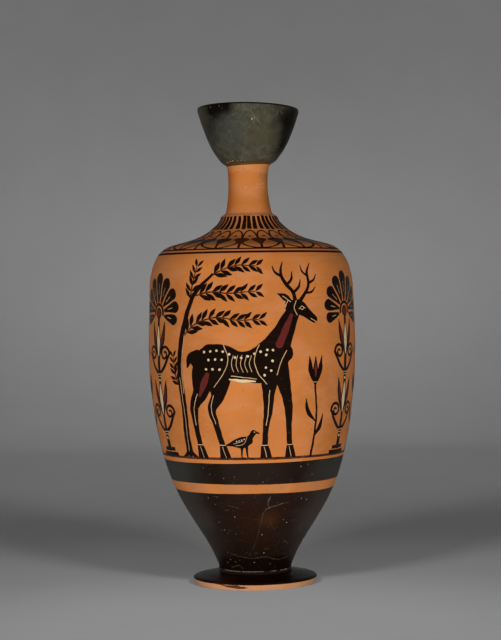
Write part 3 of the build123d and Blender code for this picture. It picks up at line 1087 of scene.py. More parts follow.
def stag():
    """A dappled stag walking right, 116 mm high with its antlers."""
    d = Drawing()
    d.brush(
        "gloss",
        (
            (-30, 58, 7), (-25, 57.5, 18), (-15, 57.5, 21), (-2, 55, 17),
            (9, 55.8, 21.5), (18, 59.5, 19), (23, 62.5, 11),
        ),
        ((15, 61, 20), (20.5, 70, 14.5), (25.5, 80, 10.5), (29.5, 88, 8.2)),
        ((27.5, 89.5, 7.6), (32.5, 89, 8.6), (37.5, 85.6, 6.2), (42.8, 81.8, 4.6)),
        ((28.5, 91.5, 1.6), (24, 94.8, 4), (19.5, 97.2, 0.4)),
        ((-29, 63, 4.2), (-33.5, 60, 5), (-36, 54.5, 1)),
        (
            (-21, 57, 20), (-25, 48, 16.5), (-27.5, 40, 10.5),
            (-32.5, 31, 6.4), (-32.6, 22, 4.1), (-31.2, 7, 3.8),
        ),
        (
            (-15, 52, 16), (-15.5, 44, 12.5), (-16.5, 37.5, 8.4),
            (-20.5, 30, 5.6), (-18.6, 21, 3.8), (-15.2, 7, 3.6),
        ),
        (
            (16, 57, 16), (14.5, 47, 10.5), (13.8, 38, 6.8),
            (13.6, 29.5, 5.6), (12.3, 20, 3.7), (11.4, 7, 3.7),
        ),
        ((19.5, 56, 12), (22.5, 46, 8.5), (24.8, 37, 6), (26.2, 29, 5.2), (26.6, 20, 3.6), (27.8, 7, 3.6)),
        ((30.6, 92, 2.4), (29, 98, 2.2), (24.5, 103, 2), (22, 109.5, 1.7), (24, 116, 0.5)),
        ((29.2, 97.5, 1.8), (33.2, 101, 1.4), (34.2, 105.5, 0.4)),
        ((25.4, 102, 1.8), (28.6, 105.6, 1.4), (29.2, 110, 0.4)),
        ((22.6, 107, 1.7), (18.6, 109.5, 1.3), (17.2, 113.6, 0.4)),
        ((33, 92.2, 2.2), (37, 97, 2), (39.8, 103, 1.8), (39.3, 109.5, 1.5), (42, 115, 0.5)),
        ((37.2, 97.3, 1.7), (41.6, 97.8, 1.3), (44.8, 101, 0.4)),
        ((39.8, 103, 1.6), (43.4, 104.6, 1.2), (45.6, 108.4, 0.4)),
        ((39.5, 107, 1.5), (36, 110, 1.1), (35.2, 114, 0.4)),
    )
    for x in (-31.2, -15.2, 11.4, 27.8):
        d.add("gloss", block((x - 2.1, 8.6), (x - 2.9, 0.2), (x + 5, 0.2), (x + 2.1, 8.6)))
        d.incise(0.45, ((x - 3, 8.2), (x + 2.8, 8.2)))
        d.incise(0.35, ((x - 0.4, 7.4), (x + 1.4, 0.6)))
    fine = bpy.context.scene.lekythos_sizes.incision_width
    d.incise(
        fine,
        ((8.5, 67.5), (5.5, 59), (8, 50.5), (12.8, 44.5)),
        ((24.5, 64), (21, 57), (18.6, 49.5)),
        ((-12.5, 68.5), (-9.5, 59), (-13, 50), (-18.5, 43)),
        ((-8, 49.5), (0, 48.4), (7, 47.6)),
        ((26, 93), (19.6, 81.5), (11.5, 71)),
        ((31, 93), (29.6, 88.6), (31.4, 84.4)),
        ((45, 79.6), (40.4, 82.4)),
        ((27.6, 92.2), (22.5, 95.6)),
        ((-29.6, 39), (-32.8, 30), (-32.4, 20)),
        ((14.4, 41), (13.7, 30), (12.4, 20)),
        ((-19, 38), (-21, 30), (-18.8, 21)),
        ((32.4, 88), (33.6, 88.5)),
        ((35.8, 88.8), (37, 88.5)),
    )
    d.add("incised", arc(fine, 34.7, 88.7, 1.1, -10, 190), arc(fine, 34.7, 88.7, 1.1, 170, 370))
    for i in range(5):
        d.incise(fine * 0.85, [(x + i * 2.6, y) for x, y in ((-6.5, 61.5), (-7.6, 56.5), (-6.2, 51.6))])
    for i in range(6):
        start = np.array((24.6, 90.4)) + np.array((-2.2, -3.3)) * i
        d.incise(fine * 0.85, (start, start + (-3.2, 0.9)))
    back = smooth_line(((-24, 63.4), (-14, 64.2), (-3, 59.8), (7, 62.8), (13, 64.4)), 4.1)
    rump = [(-21.4 + 4.1 * i, 59) for i in range(3)] + [(-23 + 4.1 * i, 53.4) for i in range(3)]
    d.add("cream", *(disc(x, y, 0.72) for x, y in (*back, *rump)))
    for x, y in ((12.4, 61.5), (16, 58), (12.2, 54), (16.2, 64.2), (11.4, 49.6), (15.4, 52.4)):
        d.add("cream", disc(x, y, 0.72))
    d.add("cream", limb((-9, 47.6, 0.7), (-1, 46.5, 1.7), (6, 46.2, 0.7)))
    d.brush(
        "red",
        ((20.2, 67.5, 4.4), (24.4, 77, 4), (27.6, 84.6, 2)),
        ((-22.6, 50, 3), (-25, 44.5, 4), (-28, 38, 1.6)),
    )
    return d


def palmette(petals, radius, spread_angle):
    """A fan of petals over a heart, opening upwards from its base at y = 0."""
    d = Drawing()
    root = 0.3 * radius
    for i in range(petals):
        share = 2 * i / (petals - 1) - 1
        turn = math.radians(90 - share * spread_angle)
        ahead = np.array((math.cos(turn), math.sin(turn)))
        tip = radius * (1 - 0.2 * abs(share))
        wide = 2 * tip * math.radians(spread_angle) / (petals - 1) * 0.74
        inner, middle, outer = ahead * root, ahead * (0.62 * tip), ahead * (tip - wide / 2)
        d.add("gloss", limb((*inner, wide * 0.26), (*middle, wide * 0.7), (*outer, wide)))
        d.add("incised", stroke(0.35, tuple(ahead * (root + 0.16 * tip)), tuple(ahead * (tip - wide * 0.8))))
    d.add("gloss", disc(0, 0, root * 0.46), arc(0.24 * root, 0, 0, 0.72 * root, -8, 188))
    d.add("red", disc(0, 0, root * 0.32))
    return d


def lotus_column():
    """A tall plant on a stepped base: two pairs of volutes and a palmette, 114 mm high."""
    d = Drawing()
    for half, low, high in ((10, 0.2, 2.8), (7, 3.5, 5.8)):
        d.add("gloss", block((-half, low), (half, low), (half, high), (-half, high)))
    d.add("gloss", limb((0, 5.4, 4.6), (0, 16, 3), (0, 50, 3), (0, 88, 2.4)))
    for y, reach in ((26, 8.2), (62, 7.2)):
        for side in (1, -1):
            tip = (side * (reach + 5), y + 2, 1.9)
            d.add("gloss", limb((0, y - 11, 2.2), (side * reach * 0.75, y - 7, 2.2), tip))
            d.add("gloss", spiral(side * (reach + 0.2), y + 2, 5, 0 if side > 0 else 180, 1.35 * side, 1.9))
            d.add("gloss", limb((side * 1.4, y + 1, 1), (side * 5.4, y + 12, 4.2), (side * 7.6, y + 22, 0.4)))
        d.add("gloss", limb((0, y - 1, 2), (0, y + 9, 5.2), (0, y + 22, 0.8)))
        d.add("cream", limb((0, y + 1, 0.8), (0, y + 9, 3.6), (0, y + 19, 0.5)))
        for side in (1, -1):
            d.add("red", limb((side * 3, y + 6, 0.5), (side * 5.2, y + 12, 1.8), (side * 6.6, y + 18, 0.4)))
        d.incise(0.45, *(((-3.4, knot), (3.4, knot)) for knot in (y - 10.4, y - 12)))
        d.add("cream", disc(0, y - 14.4, 0.8))
    d.add("gloss", disc(0, 88, 2.6))
    d.include(palmette(9, 25, 104), y=89)
    return d


def heron():
    """A wading bird that steps to the right, 86 mm high."""
    d = Drawing()
    d.brush(
        "gloss",
        ((-24, 33, 1.6), (-15, 38.6, 9), (-4, 43, 17), (6, 48, 14.5), (11.5, 53, 8.6)),
        ((-5, 47, 9), (-16, 39.6, 8.4), (-28, 30, 0.8)),
        ((9, 51, 8.6), (15.4, 58, 5.4), (13.4, 66, 4.2), (9.6, 73, 3.8), (12.4, 79.6, 4.2)),
        ((11.5, 80, 4.2), (15.4, 82, 5.4), (19, 81.2, 3.4)),
        ((18, 81.4, 2.8), (25, 79.6, 1.8), (33, 76.8, 0.4)),
        ((11.6, 82.2, 1.5), (6, 85, 1.2), (1.5, 84, 0.4)),
        ((11.6, 81, 1.3), (6.4, 81.6, 1), (2.6, 80, 0.4)),
        ((-3.4, 37, 4.6), (-4.6, 25, 1.9), (-3.4, 1.4, 1.6)),
        ((-3.6, 1.5, 1.8), (3.6, 0.9, 0.7)),
        ((-3.6, 1.5, 1.4), (-7, 0.8, 0.6)),
        ((2.6, 38, 4.6), (8, 25, 1.9), (6.6, 1.4, 1.6)),
        ((6.4, 1.5, 1.8), (13.6, 0.9, 0.7)),
        ((6.4, 1.5, 1.4), (3, 0.8, 0.6)),
    )
    fine = bpy.context.scene.lekythos_sizes.incision_width
    d.incise(fine, ((5, 53.6), (2.4, 46), (-5, 39.6), (-14, 36.4)), ((2, 53.6), (-0.6, 47), (-8, 42)))
    for i in range(6):
        d.incise(fine, ((-6 - i * 2.3, 43.6 - i * 1.3), (-11.6 - i * 2.2, 39.4 - i * 1.5)))
    d.add("incised", arc(fine, 15.6, 82.2, 0.95, -10, 190), arc(fine, 15.6, 82.2, 0.95, 170, 370))
    d.incise(fine, ((19.4, 80.6), (26, 79.2)))
    d.add("cream", *(disc(1.6 - i * 2.4, 49.4 - i * 2, 0.66) for i in range(5)))
    d.add("red", limb((7.4, 50, 4), (3.6, 44, 4), (-3, 39.4, 1.4)))
    return d


def small_bird():
    """A quail-like bird, 22 mm high, facing right."""
    d = Drawing()
    d.brush(
        "gloss",
        ((-14, 10.5, 0.8), (-7, 12, 5.4), (0, 12.8, 9), (5, 14.4, 6.4)),
        ((4, 14, 6), (7, 18, 4), (8.6, 20.4, 4.2)),
        ((8.4, 20.6, 3.2), (11, 20.4, 1.8), (13.4, 19.4, 0.4)),
        ((-1, 9.4, 2.4), (-1.4, 0.8, 0.9)),
        ((-1.6, 0.8, 0.9), (2, 0.6, 0.5)),
        ((2.6, 10, 2.4), (3.6, 0.8, 0.9)),
        ((3.4, 0.8, 0.9), (7, 0.6, 0.5)),
    )
    d.incise(0.35, ((3.4, 17), (1, 12), (-6, 10.4)), ((0.4, 14), (-8, 11.6)))
    d.add("incised", disc(9.4, 20.9, 0.42))
    d.add("cream", *(disc(1 - i * 2, 15.2 - i * 0.5, 0.5) for i in range(4)))
    return d


def branch(points, leaf, spacing):
    """A stem through the points with leaves in pairs that grow towards its tip."""
    d = Drawing()
    line = smooth_line(points, spacing)
    d.add("dilute", limb(*((x, y, 1.1 - 0.5 * i / len(line)) for i, (x, y) in enumerate(line))))
    ahead = np.gradient(line, axis=0)
    ahead /= np.linalg.norm(ahead, axis=1)[:, None]
    for i, (root, way) in enumerate(zip(line[1:], ahead[1:])):
        for side in (1, -1):
            turn = math.radians(38 + 8 * math.sin(i * 2.3)) * side
            cos, sin = math.cos(turn), math.sin(turn)
            out = np.array((way[0] * cos - way[1] * sin, way[0] * sin + way[1] * cos))
            size = leaf * (1 - 0.3 * i / len(line))
            base, middle, tip = root + out * 0.6, root + out * size * 0.55, root + out * size
            d.add("gloss", limb((*base, 0.5), (*middle, size * 0.34), (*tip, 0.3)))
    return d


def olive_tree():
    """An olive tree that bends over the stag's back, 120 mm high."""
    d = Drawing()
    d.brush(
        "gloss",
        (
            (-46.5, 3.6, 6), (-46.8, 12, 5), (-46, 30, 4.4), (-47.6, 56, 4),
            (-43.6, 82, 3.4), (-35.5, 101, 2.6), (-24, 112, 1.6),
        ),
        ((-46.5, 4.4, 4), (-49.6, 2, 2.6), (-53, 0.8, 0.8)),
        ((-46.5, 4.4, 4), (-43.4, 2, 2.6), (-40.4, 0.8, 0.8)),
    )
    fine = bpy.context.scene.lekythos_sizes.incision_width
    d.incise(fine, ((-47, 4), (-46.2, 28), (-47.8, 50)), ((-45.4, 40), (-46, 58), (-43.4, 76)))
    d.include(branch(((-27, 110), (-16, 115.6), (-7, 117.6), (3, 117)), 8.6, 4.6))
    d.include(branch(((-37, 99), (-26, 101.4), (-13, 100.6), (2, 101.6)), 8.6, 4.6))
    d.include(branch(((-45, 74), (-36, 82), (-23, 86), (-8, 84.4), (4, 84.6)), 8.6, 4.6))
    d.include(branch(((-47, 42), (-51.6, 51), (-53, 62)), 6.4, 4.2))
    d.include(branch(((-39.5, 94), (-37.6, 106), (-35, 117)), 7.2, 4.4))
    return d


def flower_stalk(height):
    """A lotus bud on a bent stalk with two leaves."""
    d = Drawing()
    d.add("gloss", limb((0, 0.3, 1.8), (1.6, height * 0.4, 1.4), (-0.6, height * 0.72, 1.2)))
    for lean in (-1, 0, 1):
        belly, tip = -0.6 + lean * 3.4, -0.6 + lean * 4.6
        d.add("gloss", limb((-0.6, height * 0.72, 1.2), (belly, height * 0.86, 3.4), (tip, height, 0.4)))
    for side, share in ((1, 0.2), (-1, 0.36)):
        y = height * share
        d.add("gloss", limb((0.8, y, 0.8), (side * 5, y + 6, 2.8), (side * 7, y + 14, 0.4)))
    d.incise(0.35, ((-3, height * 0.745), (1.8, height * 0.745)))
    d.add("red", limb((-0.6, height * 0.8, 0.8), (-0.6, height * 0.87, 1.8), (-0.6, height * 0.94, 0.4)))
    return d


def back_palmette():
    """The great palmette under the handle with its tendrils."""
    d = Drawing()
    d.include(palmette(13, 46, 122), y=58)
    for side in (1, -1):
        d.add("gloss", limb((0, 46, 2.2), (side * 22, 38, 2.2), (side * 36, 22, 2), (side * 30, 8, 1.8)))
        d.add("gloss", spiral(side * 20, 12, 11, 0 if side > 0 else 180, -1.5 * side, 2))
        d.add("gloss", limb((side * 35, 26, 1.8), (side * 42, 44, 1.8), (side * 40, 60, 1.6)))
        d.add("gloss", spiral(side * 47, 64, 7.4, 200 if side > 0 else -20, -1.4 * side, 1.8))
        d.add("gloss", limb((side * 30, 32, 1), (side * 27, 42, 4.4), (side * 30, 54, 0.4)))
    d.include(palmette(7, 24, 96), y=6)
    return d


TWIG = ((140, 84), (128, 98), (113, 106), (100, 108))


def frieze_drawings(around, ground):
    """The motifs of the frieze, each in its place round the pot and above the ground line."""
    placed = [
        (stag(), -4.5, 1.03, False),
        (olive_tree(), 0, 1.0, False),
        (small_bird(), -6.8, 0.8, False),
        (flower_stalk(62), 41, 1.0, False),
    ]
    for side in (1, -1):
        placed.append((lotus_column(), side * 69, 1.0, False))
        placed.append((heron(), side * 111, 0.82, side > 0))
        placed.append((branch([(side * x, y) for x, y in TWIG], 9, 5.5), 0, 1.0, False))
        placed.append((flower_stalk(50), side * 91, 1.0, side < 0))
    placed.append((back_palmette(), around / 2, 1.02, False))
    drawings = []
    for motif, x, size, flip in placed:
        drawing = Drawing()
        drawing.include(motif, x, ground, size, flip)
        drawings.append(drawing)
    return drawings


# The shoulder's ornament


TONGUE_SEED, BUD_SEED = 11, 23
# The half outline of a bud from its notch to its tip: shares of its half width, and radii on the shoulder
BUD_OUTLINE = ((0.45, 37), (1, 39.6), (0.62, 45), (0.24, 50), (0, 53.5))
CHAIN_RADII = (26.6, 33.5, 47.5, 55.5)
STALK_WIDTH = 1.15
ARCH_WIDTH = 1.35
TONGUE_TIP_SHARE = 0.8
TONGUE_TIP_HEIGHT = 0.9


def tongue_ring(skin, sizes):
    """Black tongues round the foot of the neck."""
    d = Drawing()
    luck = random.Random(TONGUE_SEED)
    pitch = 2 * skin.half / sizes.tongues
    top, bottom = skin.at_radius(sizes.tongue_top), skin.at_radius(sizes.tongue_bottom)
    for i in range(sizes.tongues):
        x = -skin.half + (i + 0.5 + luck.uniform(-0.07, 0.07)) * pitch
        upper = pitch * luck.uniform(0.29, 0.36)
        lower = pitch * luck.uniform(0.32, 0.39)
        low = bottom + luck.uniform(-0.35, 0.35)
        high = top + luck.uniform(-0.3, 0.2)
        slant = pitch * luck.uniform(-0.06, 0.06)
        tip = lower * TONGUE_TIP_SHARE
        tongue = (
            (x - tip, low),
            (x + tip, low),
            (x + lower, low + TONGUE_TIP_HEIGHT),
            (x + upper + slant, high),
            (x - upper + slant, high),
            (x - lower, low + TONGUE_TIP_HEIGHT),
        )
        d.add("gloss", block(*tongue))
    return d


def hoop(width, middle, reach, half):
    """An arched line, given from its end to its crown as shares of its reach."""
    left = [(middle - reach * share, s) for share, s in half]
    right = [(middle + reach * share, s) for share, s in half[-2::-1]]
    return stroke(width, *left, *right)


def bud_chain(skin, sizes):
    """Hanging buds under a chain of arches with a dot in each, and a wide bow under every second bud."""
    d = Drawing()
    luck = random.Random(BUD_SEED)
    pitch = 2 * skin.half / sizes.buds
    chain_top, dots, flank, line = (skin.at_radius(radius) for radius in CHAIN_RADII)
    heart = [(share, skin.at_radius(radius)) for share, radius in BUD_OUTLINE]
    bud_top, bud_tip = heart[0][1], heart[-1][1]
    quarter = np.linspace(0, math.pi / 2, 6)
    foot = bud_top - 1.2
    arch = [(math.cos(t) ** 0.8, foot + (chain_top - foot) * math.sin(t) ** 0.8) for t in quarter[:-1]]
    arch.append((0, chain_top))
    bow = [(math.cos(t), flank - (flank - line) * math.sin(t)) for t in quarter]
    for i in range(sizes.buds):
        x = -skin.half + (i + 0.5 + luck.uniform(-0.03, 0.03)) * pitch
        wide = pitch * luck.uniform(0.42, 0.45)
        notch = bud_top - 0.5
        left, right = (
            smooth_line([(x, notch), *((x + side * wide * share, s) for share, s in heart)], STROKE_STEP)
            for side in (-1, 1)
        )
        d.add("gloss", np.vstack((left, right[-2:0:-1])))
        d.add("dilute", stroke(STALK_WIDTH, (x, bud_tip + 1), (x + luck.uniform(-0.4, 0.4), line - 0.6)))
        middle = x + pitch / 2
        d.add("dilute", hoop(ARCH_WIDTH, middle, pitch * 0.5, arch))
        d.add("dilute", limb((middle - 1.4, dots, 0.6), (middle, dots + 0.2, 1.9), (middle + 1.4, dots, 0.6)))
        if i % 2 == 0:
            d.add("dilute", hoop(STALK_WIDTH, x, pitch * 0.9, bow))
    return d


# Operators


# The radius at which each skin's drawing keeps its true width
FOOT_REACH = 38.0
BELLY_REACH = 64.0
SHOULDER_REACH = 40.0
NECK_REACH = 13.0
MOUTH_REACH = 28.0
# Scratches have this share of a painted line's thickness.
SCRATCH_SHARE = 0.6
# Of four chips in the black one shows clay, and the others show worn gloss.
CHIP_TURNS = ("incised", "worn", "worn", "worn")


def body_skin():
    """The outside of the body, drawn at the width of its belly."""
    low, high = (corner.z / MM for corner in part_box("body"))
    return Skin.of("body", BELLY_REACH, low, high)


def paint(skin, layers, drawings, **fineness):
    """Lays drawings, each with its grid, on a skin. A layer has its colour, lift, piece, finish and slot."""
    slabs = {colour: Slabs(skin, lift) for colour, lift, *_ in layers}
    for drawing, grid in drawings:
        spread(drawing, slabs, grid, **fineness)
    for colour, _, piece, look, slot in layers:
        slabs[colour].piece(piece, finish(look), slot)


def strew(drawing, colours, skin, luck, count, heights, sizes):
    """Strews chips over a stretch of the wall, in colours that take turns."""
    for i in range(count):
        x, s = luck.uniform(-skin.half, skin.half), luck.uniform(*heights)
        drawing.add(colours[i % len(colours)], flake(skin, x, s, luck.uniform(*sizes), luck))


class ThrowFoot(bpy.types.Operator):
    """Turns the disc foot, its gloss and the dark smear on its edge"""

    bl_idname = "lekythos.throw_foot"
    bl_label = "Foot"

    SEED = 5
    GLOSS_SEED = 31
    GLOSS_ROUGHNESS = 0.06
    GLOSS_OVERHANG = 0.5
    JOINT_GAP = 0.1
    CHIPS = 26
    CHIP_SIZES = (0.15, 0.5)
    CHIP_MARGINS = (1.5, 1)
    # The smear's outline: millimetres round from the front, and up the foot's edge
    SMEAR = (
        (-25.6, 4.1),
        (-22, 3.3),
        (-18.5, 2.6),
        (-15, 1.9),
        (-10, 1.6),
        (-6, 1.5),
        (-3.4, 2.0),
        (-8, 2.9),
        (-11, 4.1),
    )

    def execute(self, context):
        sizes = context.scene.lekythos_sizes
        turn_piece("foot_disc", "foot", finish("foot_clay"), "reserved_clay", step=0.9, wear=0.35)
        edge, dome = (smooth_line(part, Skin.SAMPLE) for part in stretches(*outline("foot"))[2:4])
        skin = Skin(np.vstack((edge, dome[1:])), FOOT_REACH)
        corner = skin.at_radius(FOOT_EDGE[0])
        joint = skin.at_radius(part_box("foot_joint_slip")[1].x / MM + self.JOINT_GAP)
        gloss = Drawing()
        rim = corner - self.GLOSS_OVERHANG
        gloss.add("gloss", band(skin, rim, joint, self.GLOSS_ROUGHNESS, self.GLOSS_SEED))
        luck = random.Random(self.SEED)
        heights = (corner + self.CHIP_MARGINS[0], joint - self.CHIP_MARGINS[1])
        strew(gloss, ["incised"], skin, luck, self.CHIPS, heights, self.CHIP_SIZES)
        layers = (
            ("gloss", sizes.gloss_thickness, "foot_gloss", "foot_gloss", "black_gloss"),
            ("incised", sizes.line_thickness, "foot_chips", "incised_clay", "reserved_clay"),
        )
        paint(skin, layers, [(gloss, 0.8)])
        smear = Drawing()
        smear.add("dilute", block(*self.SMEAR))
        layer = ("dilute", sizes.line_thickness, "foot_edge_smear", "dilute_gloss", "black_gloss")
        paint(skin, [layer], [(smear, 1.0)], step=0.8, wander=0.5)
        return {"FINISHED"}


class ThrowBody(bpy.types.Operator):
    """Turns the body: its wall, shoulder and hollow"""

    bl_idname = "lekythos.throw_body"
    bl_label = "Body"

    def execute(self, context):
        turn_piece("body_wall", "body", finish("fired_clay"), "reserved_clay", segments=256, step=1.3)
        return {"FINISHED"}


class ThrowNeck(bpy.types.Operator):
    """Turns the narrow neck, with its scratches and the edge of the mouth's gloss"""

    bl_idname = "lekythos.throw_neck"
    bl_label = "Neck"

    SEED = 2
    GLOSS_SEED = 53
    GLOSS_POINTS = 121
    GLOSS_GAP = 0.05
    GLOSS_RUN = 0.3
    GLOSS_TILT = 0.2
    GLOSS_ROUGHNESS = 0.05
    LEAST_RUN = 0.12
    FINE_MARKS = 12
    FINE_SIZES = (0.15, 0.4)
    MARK_MARGIN = 2
    # A crack has its width and then its places, a chip its place and then its size, as seen from the front.
    CRACKS = (
        (0.45, (4.9, 250.7), (7.6, 251.2), (10.4, 251.4)),
        (0.5, (4.9, 248.6), (6.5, 249.6)),
    )
    CHIPS = ((-1.6, 249.2, 0.55),)

    def execute(self, context):
        sizes = context.scene.lekythos_sizes
        clay = finish("neck_clay")
        turn_piece("neck_tube", "neck", clay, "reserved_clay", segments=160, step=0.9, wear=0.25)
        low, high = (corner.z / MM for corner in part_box("neck"))
        skin = Skin.of("neck", NECK_REACH, low, high)
        luck = random.Random(self.SEED)
        marks = Drawing()
        marks.add("dilute", *(crack(skin, luck, *line) for line in self.CRACKS))
        add_flakes(marks, "dilute", skin, self.CHIPS, luck)
        for _ in range(self.FINE_MARKS):
            s = luck.uniform(self.MARK_MARGIN, skin.along[-1] - self.MARK_MARGIN)
            x = luck.uniform(-skin.half, skin.half)
            marks.add("dilute", flake(skin, x, s, luck.uniform(*self.FINE_SIZES), luck))
        thin = sizes.line_thickness * SCRATCH_SHARE
        layer = ("dilute", thin, "neck_scratches", "pale_slip", "reserved_clay")
        paint(skin, [layer], [(marks, 1.0)], step=0.6)
        layer = ("gloss", sizes.gloss_thickness, "neck_top_gloss", "olive_gloss", "black_gloss")
        paint(skin, [layer], [(self.top_edge(skin), 1.0)], step=0.8)
        return {"FINISHED"}

    def top_edge(self, skin):
        """The uneven lower edge of the mouth's gloss, which runs down onto the neck."""
        x = np.linspace(-skin.half, skin.half, self.GLOSS_POINTS)
        top = skin.along[-1] - self.GLOSS_GAP
        edge = top - self.GLOSS_RUN + self.GLOSS_TILT * np.sin(x / skin.reach)
        edge = edge + uneven(x, skin.half, self.GLOSS_ROUGHNESS, self.GLOSS_SEED)
        edge = np.minimum(edge, top - self.LEAST_RUN)
        run = Drawing()
        run.add("gloss", np.vstack((np.column_stack((x, edge)), ((skin.half, top), (-skin.half, top)))))
        return run


class ThrowMouth(bpy.types.Operator):
    """Turns the cup of the mouth, with its cracks and scratches"""

    bl_idname = "lekythos.throw_mouth"
    bl_label = "Mouth"

    SEED = 8
    FINE_MARKS = 46
    FINE_SIZES = (0.12, 0.4)
    MARK_MARGINS = (1, 0.6)
    CRACKS = (
        (0.34, (0.5, 298.6), (2.2, 295), (4, 291.8), (7.4, 287.4)),
        (0.26, (4, 291.8), (3.4, 289.6), (4.2, 286)),
        (0.22, (-12, 284), (-10.4, 281.4), (-11, 278)),
        (0.3, (-10, 292.4), (-6.4, 293.6)),
        (0.24, (20, 296.4), (21.4, 294)),
        (0.24, (3.1, 269.2), (7, 273), (12.8, 275)),
        (0.2, (-11.8, 276.8), (-8, 276.8)),
    )
    CHIPS = (
        (-12.6, 265.3, 0.6),
        (-10.9, 265.7, 0.45),
        (-9.4, 265.9, 0.5),
        (-6.4, 265.7, 0.3),
        (-4.4, 265.9, 0.35),
        (-2.2, 265.6, 0.3),
        (2.4, 290, 0.5),
    )
    RIM_CHIPS = (
        (-23.2, 297.9, 0.45),
        (-17.7, 298.1, 0.4),
        (-5.6, 298.2, 0.35),
        (15.4, 298.1, 0.4),
        (21.6, 297.6, 0.4),
    )

    def execute(self, context):
        sizes = context.scene.lekythos_sizes
        lip = (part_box("mouth")[1].x / MM, MOUTH_HIGH)
        turn_piece("mouth_cup", "mouth", finish("olive_gloss"), "black_gloss", crisp=lip, step=0.8, wear=0.2)
        skin = Skin.of("mouth", MOUTH_REACH, MOUTH_LOW, MOUTH_HIGH)
        luck = random.Random(self.SEED)
        scratches, chips = Drawing(), Drawing()
        scratches.add("dilute", *(crack(skin, luck, *line) for line in self.CRACKS))
        add_flakes(chips, "dilute", skin, self.CHIPS, luck)
        add_flakes(scratches, "dilute", skin, self.RIM_CHIPS, luck)
        for _ in range(self.FINE_MARKS):
            s = luck.uniform(self.MARK_MARGINS[0], skin.along[-1] - self.MARK_MARGINS[1])
            x = luck.uniform(-skin.half, skin.half)
            scratches.add("dilute", flake(skin, x, s, luck.uniform(*self.FINE_SIZES), luck))
        thin = sizes.line_thickness * SCRATCH_SHARE
        layer = ("dilute", thin, "mouth_scratches", "olive_scratches", "reserved_clay")
        paint(skin, [layer], [(scratches, 1.5)], step=0.8)
        layer = ("dilute", thin, "mouth_chips", "incised_clay", "reserved_clay")
        paint(skin, [layer], [(chips, 1.5)], step=0.8)
        return {"FINISHED"}


class PullHandle(bpy.types.Operator):
    """Smooths the pulled strap handle and leaves its inner face as clay"""

    bl_idname = "lekythos.pull_handle"
    bl_label = "Handle"

    VOXEL = 0.55
    SMOOTHING = 8
    # The middle of the handle's gap, as shares of its box in depth and height
    MIDDLE = (0.42, 0.45)

    def execute(self, context):
        rough = bpy.data.objects.new("handle_rough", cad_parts["handle"].data.copy())
        context.scene.collection.objects.link(rough)
        remesh = rough.modifiers.new("remesh", "REMESH")
        remesh.mode = "VOXEL"
        remesh.voxel_size = self.VOXEL * MM
        soften = rough.modifiers.new("soften", "SMOOTH")
        soften.factor = 0.5
        soften.iterations = self.SMOOTHING
        solved = rough.evaluated_get(context.evaluated_depsgraph_get())
        mesh = bpy.data.meshes.new_from_object(solved)
        bpy.data.objects.remove(rough)
        low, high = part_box("handle")
        depth, height = self.MIDDLE
        middle = Vector((0, low.y + depth * (high.y - low.y), low.z + height * (high.z - low.z)))
        inward = [max(0.0, (middle - v.co).normalized().dot(v.normal)) for v in mesh.vertices]
        vertices = [tuple(v.co) for v in mesh.vertices]
        faces = [tuple(p.vertices) for p in mesh.polygons]
        strap = add_piece("handle_strap", vertices, faces, finish("strap_gloss"), ["handle"])
        strap.data.attributes.new(INNER_FACE, "FLOAT", "POINT").data.foreach_set("value", inward)
        bpy.data.meshes.remove(mesh)
        return {"FINISHED"}


class LuteJoints(bpy.types.Operator):
    """Smears slip into the joints of foot, neck, mouth and handle"""

    bl_idname = "lekythos.lute_joints"
    bl_label = "Joint slip"

    FINENESS = {"segments": 160, "step": 0.4, "wear": 0.15}
    RING_FLARE = 1.0
    RING_SET_BACK = 0.2
    # The smear's hollow face, its foot, bend and top, from the upper edge of the ring
    COVE = ((-0.3, 0.0), (-0.75, 0.5), (-1.1, 2.2))
    COVE_STEPS = 9
    SMEAR_DEPTH = 2

    def execute(self, context):
        fine = self.FINENESS
        turn_piece("foot_joint", "foot_joint_slip", finish("foot_slip"), "joint_slip", step=0.4, wear=0.2)
        turn_piece("mouth_joint", "mouth_joint_slip", finish("olive_gloss"), "joint_slip", **fine)
        ring = outline("neck_joint_slip")[0]
        bore, rim = ring[:, 0].min(), ring[:, 0].max()
        low, high = ring[:, 1].min(), ring[:, 1].max()
        outside = ((rim + self.RING_FLARE, low), (rim - self.RING_SET_BACK, high))
        run = np.array(((bore, low), *outside, (bore, high)))
        turn_line("neck_joint", run, True, finish("pale_slip"), "joint_slip", ["neck_joint_slip"], **fine)
        foot, bend, top = (np.array((rim, high)) + offset for offset in self.COVE)
        cove = bent(foot, bend, top, np.linspace(0, 1, self.COVE_STEPS))
        back = rim - self.SMEAR_DEPTH
        smear = np.vstack((cove, ((back, top[1]), (back, high))))
        turn_line("neck_smear", smear, True, finish("neck_clay"), "reserved_clay", **fine)
        for node in ("handle_top_slip", "handle_root_slip"):
            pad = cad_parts[node]
            pad.data.materials.clear()
            pad.data.materials.append(finish("broken_slip"))
        return {"FINISHED"}


